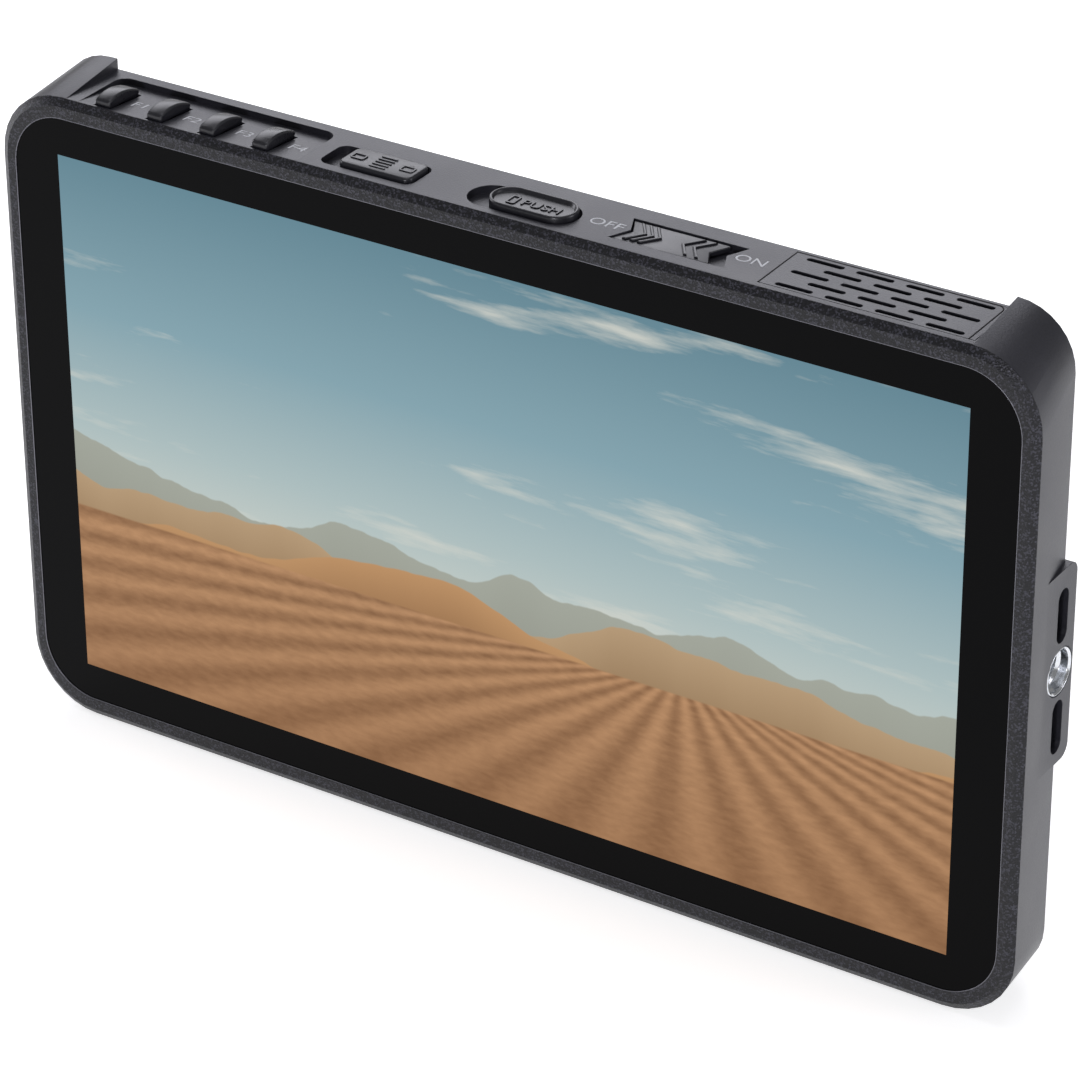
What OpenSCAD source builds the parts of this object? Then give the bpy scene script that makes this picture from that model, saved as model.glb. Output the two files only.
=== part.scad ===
// On-camera field monitor, standing upright, screen towards -Y

/* [Body] */
// Width of the body at its front rim
body_w = 174.2; // [170:0.1:180]
// Height of the body at its front rim
body_h = 106.4; // [104:0.1:112]
// Depth of the front shell, bezel to rear rim
shell_depth = 13.6; // [13.4:0.1:15]
// Depth from the bezel to the back of the rear cover
cover_depth = 20.6; // [20:0.1:24]
// Radius of the outer corners at the front rim
corner_r = 11.3; // [9:0.1:12]
// Radius of the outer corners at the rear rim
rear_corner_r = 9.2; // [7:0.1:10]
// How far each side leans in by the rear rim
side_draft = 1.8; // [0.5:0.1:2.5]
// Height of the corner ears above the deck at the rear rim
ear_rise = 1.7; // [0.5:0.1:2.5]
// Width of the bevel round the bezel
bevel_w = 1.2; // [0.5:0.1:1.4]
// Depth of the bevel round the bezel
bevel_depth = 0.8; // [0.4:0.1:1.2]
// Thickness of the side walls at the rear rim
wall = 1.8; // [1.5:0.1:2.5]
// Thickness of the deck and of the bottom wall
deck_wall = 2.6; // [2.4:0.1:3]
// Left end of the deck, where the left ear begins
deck_x0 = -74.8; // [-76:0.1:-73]
// Right end of the deck, where the right ear begins
deck_x1 = 76.1; // [74:0.1:77]

/* [Screen] */
// Width of the picture
picture_w = 153; // [150:0.1:155]
// Height of the picture
picture_h = 88; // [84:0.1:90]
// Width of the cover glass
glass_w = 168.9; // [166:0.1:169.2]
// Height of the cover glass
glass_h = 100.1; // [98:0.1:100.4]
// Radius of the corners of the cover glass
glass_r = 9.2; // [6:0.1:10]
// Thickness of the cover glass
glass_t = 1.1; // [0.7:0.1:1.3]
// Step from the bezel down to the glass
glass_sink = 0.2; // [0.1:0.05:0.4]

/* [Function keys] */
// Middle of the first function key
key_x0 = -68.2; // [-69:0.1:-67]
// Distance from one key to the next
key_pitch = 9.4; // [8.5:0.1:9.6]
// Width of a key
key_w = 3.4; // [3:0.1:4]
// Length of a key, front to back
key_len = 8.2; // [7.4:0.1:8.6]
// Middle of the keys, from the bezel
key_y = 4.9; // [4.8:0.1:5.4]
// Height of the crown of a key above its panel
key_crown = 2.1; // [1.2:0.1:2.6]
// Distance a key presses down
key_travel = 0.6; // [0.3:0.1:0.7]

/* [Sliders] */
// Middle of the function slider
function_x = -21.6; // [-23:0.1:-20]
// Distance that the function slider moves
function_travel = 2.6; // [1:0.1:2.8]
// Middle of the battery release slider
release_x = 3.9; // [2:0.1:5]
// Distance that the battery release slider moves
release_travel = 3.2; // [2:0.1:3.4]
// Middle of the sliders, from the bezel
slider_y = 5.8; // [5.4:0.1:6.2]
// Left end of the power switch's recess
power_x0 = 17.7; // [17:0.1:18.5]
// Length of the power switch's recess
power_len = 18.7; // [18:0.1:19.5]
// Distance that the power slider moves
power_travel = 2.4; // [1.5:0.1:2.6]

/* [Grille] */
// Left edge of the speaker grille
grille_x0 = 42.4; // [42:0.1:43]
// Width of the speaker grille
grille_w = 33.5; // [32:0.1:33.6]
// Distance from one row of slots to the next
slot_row_pitch = 2.2; // [2:0.05:2.3]
// Distance from one slot to the next in a row
slot_pitch = 7.75; // [7.6:0.05:7.8]
// Length of a slot
slot_len = 5.8; // [5:0.1:6.4]
// Width of a slot
slot_w = 0.9; // [0.6:0.1:1.2]

/* [Mounting sockets] */
// Radius of the tripod thread, 1/4 inch
thread_r = 3.175; // [3.175]
// Outer radius of the threaded insert
insert_r = 3.8; // [3.6:0.05:4]
// Length of the threaded insert
insert_len = 7; // [6:0.1:7.5]
// Distance of the side socket from the bezel
side_socket_y = 11.7; // [11:0.1:12.4]
// Height of the side socket above the screen's middle
side_socket_rise = 0.3; // [0:0.1:2]
// Distance of the bottom socket from the bezel
bottom_socket_y = 15.6; // [15:0.1:16]
// Width of the slots for a bracket's guide pins
guide_slot_w = 3.1; // [2.6:0.1:3.4]

/* [Battery plate] */
// Width of the battery plate
plate_w = 41; // [39:0.1:44]
// Height of the battery plate
plate_h = 66; // [60:0.5:70]
// Bottom of the battery plate
plate_z = 22; // [18:0.5:24]
// Thickness of the battery plate
plate_t = 2.2; // [1.8:0.1:2.6]
// Height of the battery rails above the plate
rail_h = 2.2; // [1.8:0.1:2.6]

/* [Clearances] */
// Gap round pieces that move
gap = 0.3; // [0.25:0.05:0.4]
// Gap between fixed pieces
seam = 0.1; // [0.05:0.01:0.15]

/* [Hidden] */
$fn = 48;

// How far a cut runs past the face it opens
past = 5;
overall_depth = cover_depth + plate_t + rail_h;
screen_z = body_h / 2;
deck_under = body_h - deck_wall;

// Margins round the picture, and the low edge of the glass
glass_low = (body_h - glass_h) / 2;
panel_margin = 1.3;
window_margin = 1.6;
tape_inset = 0.6;

// Depths, front to back
glass_seat = glass_sink + glass_t + 0.35;
ledge_rear = glass_seat + 1.35;
panel_t = 2;
panel_rear = glass_sink + glass_t + panel_t;
tray_rear = panel_rear + 2.1;
board_front = tray_rear + 2;
board_t = 1.6;
board_rear = board_front + board_t;
cover_t = 2;
cover_inner = cover_depth - cover_t;
window_w = picture_w + 2 * window_margin;
window_h = picture_h + 2 * window_margin;

// Bosses of the rear cover's screws
cover_boss_r = 3.2;
shell_boss_r = 3;

// Inside of the front shell
cavity_w = body_w - 2 * (side_draft + wall);
cavity_r = 6;
cavity_bottom = deck_wall;

// Function key panel
panel_sink = 1;
last_key_x = key_x0 + 3 * key_pitch;
panel_x0 = key_x0 - 4.4;
panel_x1 = last_key_x + 6.5;
panel_y1 = key_y + key_len / 2 + 2.7;
panel_z = body_h - panel_sink;
key_pocket = 1.2;
key_bottom = panel_z - 0.2;
key_stem_w = 2;
key_stem_len = 4;
key_foot_z = deck_under - 0.9;

// Circuit boards under the deck
small_board_t = 0.8;
small_board_z = body_h - 6;
small_board_top = small_board_z + small_board_t;
small_board_y0 = 4;
small_board_y1 = 12.6;
key_board_x0 = key_x0 - 10.8;
key_board_x1 = function_x + 11.1;
power_board_x0 = power_x0 - 2.2;
power_board_x1 = power_x0 + power_len + 3.6;
post_r = 1.7;
post_y = 10.6;
post_xs = [
    key_board_x0 + 2.4, last_key_x + 7.6, key_board_x1 - 2.1, power_board_x0 + 2.1, power_board_x1 - 2
];
small_screw_r = 0.8;

// Sliders
recess_sink = 1.2;
slider_under = body_h - recess_sink + gap;
function_w = 12.8;
function_len = 6.2;
release_w = 14.2;
release_len = 6.6;
power_y0 = 3.2;
power_y1 = 10.2;
power_notch = 1.6;
stem_w = 6;
stem_len = 2.4;

// Main board, its shields and the cable to the screen
main_board_x0 = -body_w / 2 + 4.6;
main_board_x1 = body_w / 2 - 29.1;
main_board_z0 = cavity_bottom + 6.4;
main_board_z1 = small_board_z - 8.4;
board_notch = 12.5;
shields = [[-24, 34, 34, 32, 2.4], [18, 40, 12, 18, 1.6]];
cable_x0 = -window_w / 2 + 20.1;
cable_w = 24;

// Screws and their holes
screw_r = 1;
head_r = 1.9;
pilot_r = screw_r + 0.05;
clear_r = screw_r + 0.2;
cover_screw_len = 6;
cover_head_sink = 1.8;
cover_head_room = head_r + 0.5;
board_screw_len = 4;
plate_screw_len = 2.8;
plate_head_sink = 0.9;
plate_head_room = head_r + 0.3;
head_h = 1;
small_head_r = 1.4;
small_head_h = 0.7;
through = overall_depth + past;

// Screws of the rear cover
corner_screw_x = body_w / 2 - 9.6;
foot_screw_x = 30;
foot_screw_z = 5.4;
top_screw_z = body_h - 10;

// Air slots beside the battery plate
vent_rows = 8;
vent_pitch = 4.2;
vent_len = 26;
vent_w = 1.8;
vent_from_plate = 27.5;
vent_above_plate = 44;
vent_x = plate_w / 2 + vent_from_plate;
vent_top = plate_z + vent_above_plate;

// Speaker grille
grille_y0 = 1.9;
grille_y1 = 13;
grille_t = 1.4;
speaker_y0 = grille_y0 + 1.7;
speaker_y1 = grille_y1 - 0.8;
cone = [21, 6.4];
coil = [18, 3.4];

// Battery latch
link_w = 8;
link_t = 1.6;
link_z = small_board_z - 1.2;
link_y1 = 15.2;
latch_retract = 2.4;
latch_x = release_x;
latch_pin_r = 0.8;
latch_pin_y = 13.4;
latch_t = 2;
latch_w = 9;
hook_w = 5;
hook_h = 4;
hook_z = plate_z + plate_h - 8;
hook_proud = 1.7;
spring_len = 9;
spring_turns = 7;

// Side and bottom bosses for the sockets
side_boss_x = body_w / 2 - 0.8;
side_boss_in = 9;
side_boss_depth = 15.6;
side_socket_z = screen_z + side_socket_rise;
side_boss_z0 = side_socket_z - 15.2;
side_boss_z1 = side_socket_z + 16.4;
guide_slot_deep = 3;
guide_slot_len = 8.6;
guide_gap = 0.9;
guide_slot_off = insert_r + guide_gap + guide_slot_len / 2;
bottom_boss_w = 40;
bottom_boss_h = 10;
bottom_boss_y1 = 20;

// Ports in the left side
port_y = board_front + board_t / 2;
hdmi_zs = [31, 52];
hdmi_w = 15;
hdmi_h = 5.6;
usb_z = 71;
usb_w = 9;
usb_h = 3.3;
jack_z = 84;
jack_r = 2.9;
inlet_z = 16.5;
inlet_r = 3.6;
port_face_x = -body_w / 2 + 1.6;
port_len = 12;
jack_len = 7.6;
port_reach = 10.5;

// Moves a piece from the bezel's own depth to the middle of the footprint
module placed() {
    translate([0, -overall_depth / 2, 0]) children();
}

// Round bar or hole along +Y, at a place in X and Z
module along_y(p, y, r, len) {
    translate([p[0], y, p[1]]) rotate([-90, 0, 0]) cylinder(r = r, h = len);
}

// Flat shape drawn as width and height, standing up from one depth to another
module upright(y0, y1) {
    translate([0, y1, 0]) rotate([90, 0, 0]) linear_extrude(y1 - y0) children();
}

// Rectangle with round corners, its lower edge on the X axis
module round_rect(w, h, r) {
    translate([-w / 2, r]) square([w, h - 2 * r]);
    translate([-w / 2 + r, 0]) square([w - 2 * r, h]);
    for (x = [-w / 2 + r, w / 2 - r], y = [r, h - r])
        translate([x, y]) circle(r);
}

// Rectangle with round corners, centred
module centred_round_rect(w, h, r) {
    translate([0, -h / 2]) round_rect(w, h, r);
}

// Slot with round ends, centred
module obround(w, h) {
    centred_round_rect(w, h, h / 2 - 0.001);
}

// Box given by its low and high corners
module span(low, high) {
    translate(low) cube(high - low);
}

// Thin slice of the shell's outline, used as a corner of a hull
module shell_slice(w, h, r, y, z) {
    translate([0, 0, z]) upright(y, y + 0.01) round_rect(w, h, r, $fn = 32);
}

// Outer form of the front shell: bevel, drafted sides, rising ears
module shell_form() {
    hull() {
        shell_slice(body_w - 2 * bevel_w, body_h - 2 * bevel_w, corner_r - bevel_w, 0, bevel_w);
        shell_slice(body_w, body_h, corner_r, bevel_depth, 0);
        shell_slice(body_w - 2 * side_draft, body_h + ear_rise, rear_corner_r, shell_depth - 0.01, 0);
    }
}

// Swallow-tailed outline of the power switch
module swallowtail(x0, x1, y0, y1, notch) {
    ym = (y0 + y1) / 2;
    polygon([[x0, y0], [x1, y0], [x1 - notch, ym], [x1, y1], [x0, y1], [x0 + notch, ym]]);
}

// Stands the outline of a deck feature between two heights
module deck_feature(z0, z1) {
    translate([0, 0, z0]) linear_extrude(z1 - z0) children();
}

module deck_openings() {
    // Sunken panel of the function keys, open at its front
    deck_feature(panel_z, body_h + past)
        translate([(panel_x0 + panel_x1) / 2, -10]) round_rect(panel_x1 - panel_x0, panel_y1 + 10, 2);
    for (i = [0:3]) {
        x = key_x0 + i * key_pitch;
        span([x - key_w / 2 - gap, key_y - key_len / 2 - gap, panel_z - key_pocket],
             [x + key_w / 2 + gap, key_y + key_len / 2 + gap, body_h]);
        span([x - key_stem_w / 2 - gap, key_y + 0.4 - gap, deck_under - 1],
             [x + key_stem_w / 2 + gap, key_y + 0.4 + key_stem_len + gap, body_h]);
    }
    // Recesses and slots of the two finger sliders
    deck_feature(body_h - recess_sink, body_h + past)
        translate([function_x - function_travel / 2, slider_y])
            centred_round_rect(function_w + function_travel + 2 * gap, function_len + 2 * gap, 1.6);
    deck_feature(body_h - recess_sink, body_h + past)
        translate([release_x - release_travel / 2, slider_y])
            obround(release_w + release_travel + 2 * gap, release_len + 2 * gap);
    for (s = [[function_x, function_travel], [release_x, release_travel]])
        span([s[0] - stem_w / 2 - s[1] - gap, slider_y - stem_len / 2 - gap, deck_under - 1],
             [s[0] + stem_w / 2 + gap, slider_y + stem_len / 2 + gap, body_h]);
    // Power switch
    deck_feature(body_h - recess_sink, body_h + past)
        swallowtail(power_x0, power_x0 + power_len, power_y0, power_y1, power_notch);
    power_x = power_x0 + power_len / 2 - 1;
    span([power_x - stem_w / 2 - gap, slider_y + 0.9 - stem_len / 2 - gap, deck_under - 1],
         [power_x + stem_w / 2 + power_travel + gap, slider_y + 0.9 + stem_len / 2 + gap, body_h]);
    // Speaker grille, on a ledge
    span([grille_x0, grille_y0, body_h - grille_t], [grille_x0 + grille_w, grille_y1, body_h + past]);
    span([grille_x0 + 1.2, grille_y0 + 1.3, deck_under - 1],
         [grille_x0 + grille_w - 1.2, grille_y1 - 0.6, body_h]);
}

// Round post with a hole, hanging under the deck
module board_post(x) {
    translate([x, post_y, small_board_top + 0.001])
        cylinder(r = post_r, h = deck_under - small_board_top + 0.5);
}

module front_frame() color("#2b2c30") placed() {
    difference() {
        union() {
            difference() {
                shell_form();
                // Deck, flat between the ears
                span([deck_x0, -past, body_h], [deck_x1, shell_depth + past, body_h + 10]);
                // Seat of the cover glass
                translate([0, 0, glass_low - seam])
                    upright(-past, glass_seat) round_rect(glass_w + 2 * seam, glass_h + 2 * seam, glass_r);
                // Window of the panel
                span([-window_w / 2, 0, screen_z - window_h / 2],
                     [window_w / 2, shell_depth, screen_z + window_h / 2]);
                // Hollow behind the ledge
                translate([0, 0, cavity_bottom])
                    upright(ledge_rear, shell_depth + past)
                        round_rect(cavity_w, deck_under - cavity_bottom, cavity_r);
                deck_openings();
                left_side_openings();
            }
            for (x = post_xs) board_post(x);
            // Boss of the side socket
            boss_x0 = side_boss_x - side_boss_in;
            span([boss_x0, 4, side_boss_z0 + 2], [side_boss_x, side_boss_depth, side_boss_z1 - 2]);
            span([boss_x0, 4, side_boss_z0], [side_boss_x, side_boss_depth - 2, side_boss_z1]);
            for (z = [side_boss_z0 + 2, side_boss_z1 - 2])
                translate([boss_x0, side_boss_depth - 2, z])
                    rotate([0, 90, 0]) cylinder(r = 2, h = side_boss_in);
            // Boss of the bottom socket
            span([-bottom_boss_w / 2, 11, 0], [bottom_boss_w / 2, bottom_boss_y1, bottom_boss_h]);
            screw_bosses();
        }
        for (x = post_xs)
            translate([x, post_y, small_board_z - 1]) cylinder(r = small_screw_r + 0.05, h = 4.6);
        side_socket_cuts();
        bottom_socket_cuts();
        for (p = cover_screw_places())
            along_y(p, shell_depth - cover_screw_len, pilot_r, through);
    }
}

// Places of the rear cover's screws, in X and Z
function cover_screw_places() = [
    for (x = [-corner_screw_x, corner_screw_x], z = [foot_screw_z, top_screw_z]) [x, z],
    for (x = [-foot_screw_x, foot_screw_x]) [x, foot_screw_z]
];

// Bosses that take the rear cover's screws
module screw_bosses() {
    for (p = cover_screw_places())
        along_y(p, tray_rear + 0.6, shell_boss_r, shell_depth - tray_rear - 0.6);
}

// Bore and guide slots of the side socket
module side_socket_cuts() {
    translate([side_boss_x - insert_len - 0.2, side_socket_y, side_socket_z])
        rotate([0, 90, 0]) cylinder(r = insert_r, h = insert_len + past);
    for (side = [-1, 1])
        translate([side_boss_x - guide_slot_deep, side_socket_y, side_socket_z + side * guide_slot_off])
            rotate([0, 90, 0]) linear_extrude(guide_slot_deep + past) obround(guide_slot_len, guide_slot_w);
}

// Bore and guide slots of the bottom socket
module bottom_socket_cuts() {
    translate([0, bottom_socket_y, -past]) cylinder(r = insert_r, h = insert_len + past + 0.2);
    for (side = [-1, 1])
        translate([side * guide_slot_off, bottom_socket_y, -past])
            linear_extrude(guide_slot_deep + past) obround(guide_slot_len, guide_slot_w);
}

// Openings of the connectors through the left wall
module left_side_openings() {
    for (z = hdmi_zs)
        port_opening(z, hdmi_w, hdmi_h);
    port_opening(usb_z, usb_w, usb_h);
    for (p = [[jack_z, jack_r], [inlet_z, inlet_r]])
        translate([-body_w, port_y, p[0]]) rotate([0, 90, 0])
            cylinder(r = p[1] + seam, h = body_w + port_face_x + port_reach);
}

// Hole for one rectangular connector
module port_opening(z, w, h) {
    span([-body_w, port_y - h / 2 - seam, z - w / 2 - seam],
         [port_face_x + port_reach, port_y + h / 2 + seam, z + w / 2 + seam]);
}

module cover_glass() color("#0c0d10") placed() {
    translate([0, 0, glass_low])
        upright(glass_sink, glass_sink + glass_t) round_rect(glass_w, glass_h, glass_r - seam);
}

module glass_adhesive() color("#151517") placed() {
    difference() {
        translate([0, 0, glass_low + tape_inset])
            upright(glass_sink + glass_t, glass_seat)
                round_rect(glass_w - 2 * tape_inset, glass_h - 2 * tape_inset, glass_r - tape_inset - seam);
        span([-window_w / 2, 0, screen_z - window_h / 2], [window_w / 2, 5, screen_z + window_h / 2]);
    }
}

module lcd_panel() color("#7a8a90") placed() {
    half_w = picture_w / 2 + panel_margin;
    half_h = picture_h / 2 + panel_margin;
    span([-half_w, glass_sink + glass_t, screen_z - half_h], [half_w, panel_rear, screen_z + half_h]);
}

module backlight_tray() color("#b5b8bb") placed() {
    difference() {
        union() {
            span([-window_w / 2 + 1, panel_rear, screen_z - window_h / 2 + 0.4],
                 [window_w / 2 - 1, tray_rear, screen_z + window_h / 2 - 0.4]);
            for (p = board_screw_places())
                along_y(p, tray_rear - 0.5, 2.5, board_front - tray_rear + 0.5);
        }
        for (p = board_screw_places())
            along_y(p, tray_rear - 1.5, pilot_r, through);
        // Slot that lets the screen cable leave the tray
        span([cable_x0 - 4, panel_rear - 1, screen_z - window_h / 2],
             [cable_x0 + cable_w + 4, tray_rear + 1, screen_z - window_h / 2 + 2]);
    }
}

// Places of the main board's screws, in X and Z
function board_screw_places() = [
    for (x = [main_board_x0 + 22.5, main_board_x1 - 6], z = [main_board_z0 + 11, main_board_z1 - 12]) [x, z]
];

// Outer form of the rear cover, leaning in on all sides but the bottom
module cover_form(grow, y1) {
    hull() {
        rim_w = body_w - 2 * side_draft - 2.4 + 2 * grow;
        back_w = body_w - 2 * side_draft - 16 + 2 * grow;
        shell_slice(rim_w, body_h - 2.2 + 2 * grow, 8 + grow, shell_depth + seam, 0.6 - grow);
        shell_slice(back_w, body_h - 9 + 2 * grow, 6 + grow, y1, 3 - grow);
    }
}

module rear_cover() color("#222326") placed() {
    difference() {
        union() {
            difference() {
                cover_form(0, cover_depth - 0.01);
                cover_form(-2.2, cover_inner);
            }
            intersection() {
                cover_form(0, cover_depth - 0.01);
                for (p = cover_screw_places())
                    along_y(p, 0, cover_boss_r, through);
            }
        }
        // Room for the bosses of the two sockets
        span([side_boss_x - side_boss_in - seam, 0, side_boss_z0 - seam],
             [body_w, side_boss_depth + seam, side_boss_z1 + seam]);
        span([-bottom_boss_w / 2 - seam, 0, -past],
             [bottom_boss_w / 2 + seam, bottom_boss_y1 + seam, bottom_boss_h + seam]);
        span([-bottom_boss_w / 2 - seam, 0, -past], [bottom_boss_w / 2 + seam, cover_depth + past, 3]);
        hook_window();
        // Window of the battery contacts
        span([-9, 0, plate_z + 5], [9, cover_depth + past, plate_z + 11]);
        for (p = cover_screw_places()) {
            along_y(p, 0, clear_r, through);
            along_y(p, shell_depth + cover_head_sink, cover_head_room, through);
        }
        for (p = plate_screw_places()) along_y(p, 0, pilot_r, through);
        // Rows of air slots beside the battery plate
        for (side = [-1, 1], i = [0:vent_rows - 1])
            translate([side * vent_x, 0, vent_top - i * vent_pitch])
                upright(cover_inner - 5, cover_depth + past) obround(vent_len, vent_w);
    }
}

// Window of the battery latch, through the cover and the plate
module hook_window() {
    span([latch_x - hook_w / 2 - gap, 0, hook_z - gap],
         [latch_x + hook_w / 2 + gap, through, hook_z + hook_h + gap]);
}

// Places of the battery plate's screws, in X and Z
function plate_screw_places() = [
    for (x = [-15, 15], z = [plate_z + 14, plate_z + plate_h - 18]) [x, z]
];

module battery_plate() color("#1b1b1d") placed() {
    difference() {
        union() {
            translate([0, 0, plate_z])
                upright(cover_depth, cover_depth + plate_t) round_rect(plate_w, plate_h, 2);
            for (side = [-1, 1], z = [plate_z + 4, plate_z + 27, plate_z + 50])
                battery_rail(side, z);
        }
        hook_window();
        span([-9, 0, plate_z + 5], [9, 40, plate_z + 11]);
        for (p = plate_screw_places()) {
            along_y(p, 0, clear_r, through);
            along_y(p, cover_depth + plate_head_sink, plate_head_room, through);
        }
    }
}

// Hooked rail that a battery's groove slides over
module battery_rail(side, z) {
    rail_in = 15.6;
    rail_t = 1.6;
    lip = 1.3;
    x0 = side > 0 ? plate_w / 2 - rail_t : -plate_w / 2;
    translate([x0, cover_depth + plate_t - 0.5, z]) cube([rail_t, rail_h + 0.5, rail_in]);
    x1 = side > 0 ? plate_w / 2 - rail_t - lip : -plate_w / 2 + rail_t - 0.1;
    translate([x1, cover_depth + plate_t + rail_h - 0.8, z]) cube([lip + 0.1, 0.8, rail_in]);
}

module battery_contacts() color("#c9a24a") placed() {
    for (x = [-6, 0, 6]) {
        span([x - 0.5, cover_depth - 2.5, plate_z + 6], [x + 0.5, cover_depth + plate_t + 1.4, plate_z + 10]);
        span([x - 1.4, cover_depth - 3.3, plate_z + 5.4], [x + 1.4, cover_depth - 2.5, plate_z + 10.6]);
    }
    // Insulating block that carries the three blades
    span([-10, cover_depth - 5, plate_z + 4], [10, cover_depth - 3.3, plate_z + 12]);
}

module main_board() color("#1f4a33") placed() {
    difference() {
        span([main_board_x0, board_front, main_board_z0], [main_board_x1, board_rear, main_board_z1]);
        for (z = hdmi_zs) board_notch_for(z, hdmi_w / 2, port_len);
        board_notch_for(usb_z, usb_w / 2, port_len);
        board_notch_for(jack_z, jack_r, jack_len);
        board_notch_for(inlet_z, inlet_r, jack_len);
        // Corners left free for the cover's screw bosses
        span([-body_w, 0, 0], [main_board_x0 + board_notch, cover_depth, inlet_z - inlet_r - 2 * seam]);
        span([-body_w, 0, top_screw_z - 8.4], [main_board_x0 + board_notch, cover_depth, body_h]);
        for (p = board_screw_places())
            along_y(p, 0, clear_r, through);
        for (x = [-foot_screw_x, foot_screw_x])
            span([x - 5, 0, 0], [x + 5, cover_depth, foot_screw_z + 6.6]);
        span([-bottom_boss_w / 2 - 1, 0, 0], [bottom_boss_w / 2 + 1, cover_depth, bottom_boss_h + 0.5]);
        // Notch that the battery latch draws back into
        span([latch_x - latch_w / 2 - 1, 0, hook_z - 1], [latch_x + latch_w / 2 + 1, cover_depth, body_h]);
    }
}

// Notch in the main board's left edge that clears one connector
module board_notch_for(z, half, len) {
    span([-body_w, 0, z - half - seam], [port_face_x + len + seam, cover_depth, z + half + seam]);
}

module processor_shield() color("#c3c5c7") placed() {
    // Each shield as its left edge, lower edge, width, height and thickness
    for (s = shields) span([s[0], board_rear, s[1]], [s[0] + s[2], board_rear + s[4], s[1] + s[3]]);
}

// Flat cable from the panel's lower edge round to the main board
module screen_cable() color("#c08a3a") placed() {
    z0 = screen_z - window_h / 2 + 0.5;
    x1 = cable_x0 + cable_w;
    span([cable_x0, panel_rear, z0], [x1, board_front - 0.4, z0 + 0.3]);
    span([cable_x0, board_front - 0.7, z0], [x1, board_front - 0.4, z0 + 9]);
    span([cable_x0 + 2, board_front - 0.4, z0 + 6.5], [x1 - 2, board_front, z0 + 9]);
}

// Small circuit board under the deck
module small_board(x0, x1) {
    difference() {
        span([x0, small_board_y0, small_board_z], [x1, small_board_y1, small_board_top]);
        for (x = post_xs) translate([x, post_y, 0]) cylinder(r = small_screw_r + 0.1, h = body_h);
    }
}

module key_board() color("#1f4a33") placed() small_board(key_board_x0, key_board_x1);

module power_board() color("#1f4a33") placed() small_board(power_board_x0, power_board_x1);

module key_switches() color("#d0d2d4") placed() {
    for (i = [0:3]) {
        x = key_x0 + i * key_pitch;
        y = key_y + 0.4 + key_stem_len / 2;
        span([x - 1.9, y - 1.9, small_board_top], [x + 1.9, y + 1.9, small_board_top + 0.6]);
        button_h = key_foot_z - key_travel - 0.1 - small_board_top - 0.6;
        translate([x, y, small_board_top + 0.6]) cylinder(r = 1.1, h = button_h);
    }
}

// Arched function key on its stem
module function_key(i) {
    x = key_x0 + i * key_pitch;
    rise = panel_z + key_crown - key_bottom;
    side = 0.55;
    bow_r = (pow(key_len / 2, 2) + pow(rise - side, 2)) / (2 * (rise - side));
    intersection() {
        span([x - key_w / 2, key_y - key_len / 2, key_bottom],
             [x + key_w / 2, key_y + key_len / 2, key_bottom + 5]);
        translate([x - key_w / 2, key_y, key_bottom + rise - bow_r])
            rotate([0, 90, 0]) cylinder(r = bow_r, h = key_w, $fn = 128);
    }
    span([x - key_stem_w / 2, key_y + 0.4, key_foot_z],
         [x + key_stem_w / 2, key_y + 0.4 + key_stem_len, key_bottom + 0.3]);
}

module f1_key() color("#232428") placed() function_key(0);
module f2_key() color("#232428") placed() function_key(1);
module f3_key() color("#232428") placed() function_key(2);
module f4_key() color("#232428") placed() function_key(3);

// Stem of a deck slider, from under its cap to a given depth
module slider_stem(x, y, z0) {
    span([x - stem_w / 2, y - stem_len / 2, z0], [x + stem_w / 2, y + stem_len / 2, slider_under + 0.2]);
}

module function_slider() color("#232428") placed() {
    deck_feature(slider_under, body_h + 0.6)
        translate([function_x, slider_y]) centred_round_rect(function_w, function_len, 1.4);
    slider_stem(function_x, slider_y, deck_under - 0.4);
    span([function_x - 1, slider_y - 0.6, small_board_top + 1], [function_x + 1, slider_y + 0.6, deck_under]);
}

// Slide switch on the circuit board, with a channel for the slider's tongue
module slide_switch(x, y, travel, dir) {
    x0 = dir < 0 ? x - travel - 2.5 : x - 2.5;
    x1 = dir < 0 ? x + 2.5 : x + travel + 2.5;
    difference() {
        span([x0, y - 1.8, small_board_top], [x1, y + 1.8, small_board_top + 1.5]);
        span([x0 + 1.2, y - 0.6 - gap, small_board_top + 0.6], [x1 - 1.2, y + 0.6 + gap, small_board_top + 5]);
    }
}

module function_switch() color("#9a9da0") placed() slide_switch(function_x, slider_y, function_travel, -1);

module release_slider() color("#232428") placed() {
    difference() {
        deck_feature(slider_under, body_h + 0.9)
            translate([release_x, slider_y]) obround(release_w, release_len);
        deck_feature(body_h + 0.5, body_h + past)
            translate([release_x, slider_y]) obround(release_w - 1.4, release_len - 1.4);
    }
    slider_stem(release_x, slider_y, link_z + link_t);
    span([release_x - 2, slider_y - 0.9, link_z], [release_x + 2, slider_y + 0.9, deck_under]);
}

// Plate under the deck that carries the slider's push to the latch
module release_link() color("#8d9094") placed() {
    slot_len_xy = norm([release_travel, latch_retract]);
    difference() {
        span([release_x - link_w / 2, small_board_y0, link_z],
             [release_x + link_w / 2, link_y1, link_z + link_t]);
        span([release_x - 2, slider_y - 0.9, 0], [release_x + 2, slider_y + 0.9, body_h]);
        // Slanted slot that draws the latch's pin forward
        translate([latch_x + release_travel / 2 - 1.6, latch_pin_y - latch_retract / 2, 0])
            rotate(-atan2(latch_retract, release_travel))
                linear_extrude(body_h) obround(slot_len_xy + 2 * (latch_pin_r + gap), 2 * (latch_pin_r + gap));
    }
}

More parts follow.
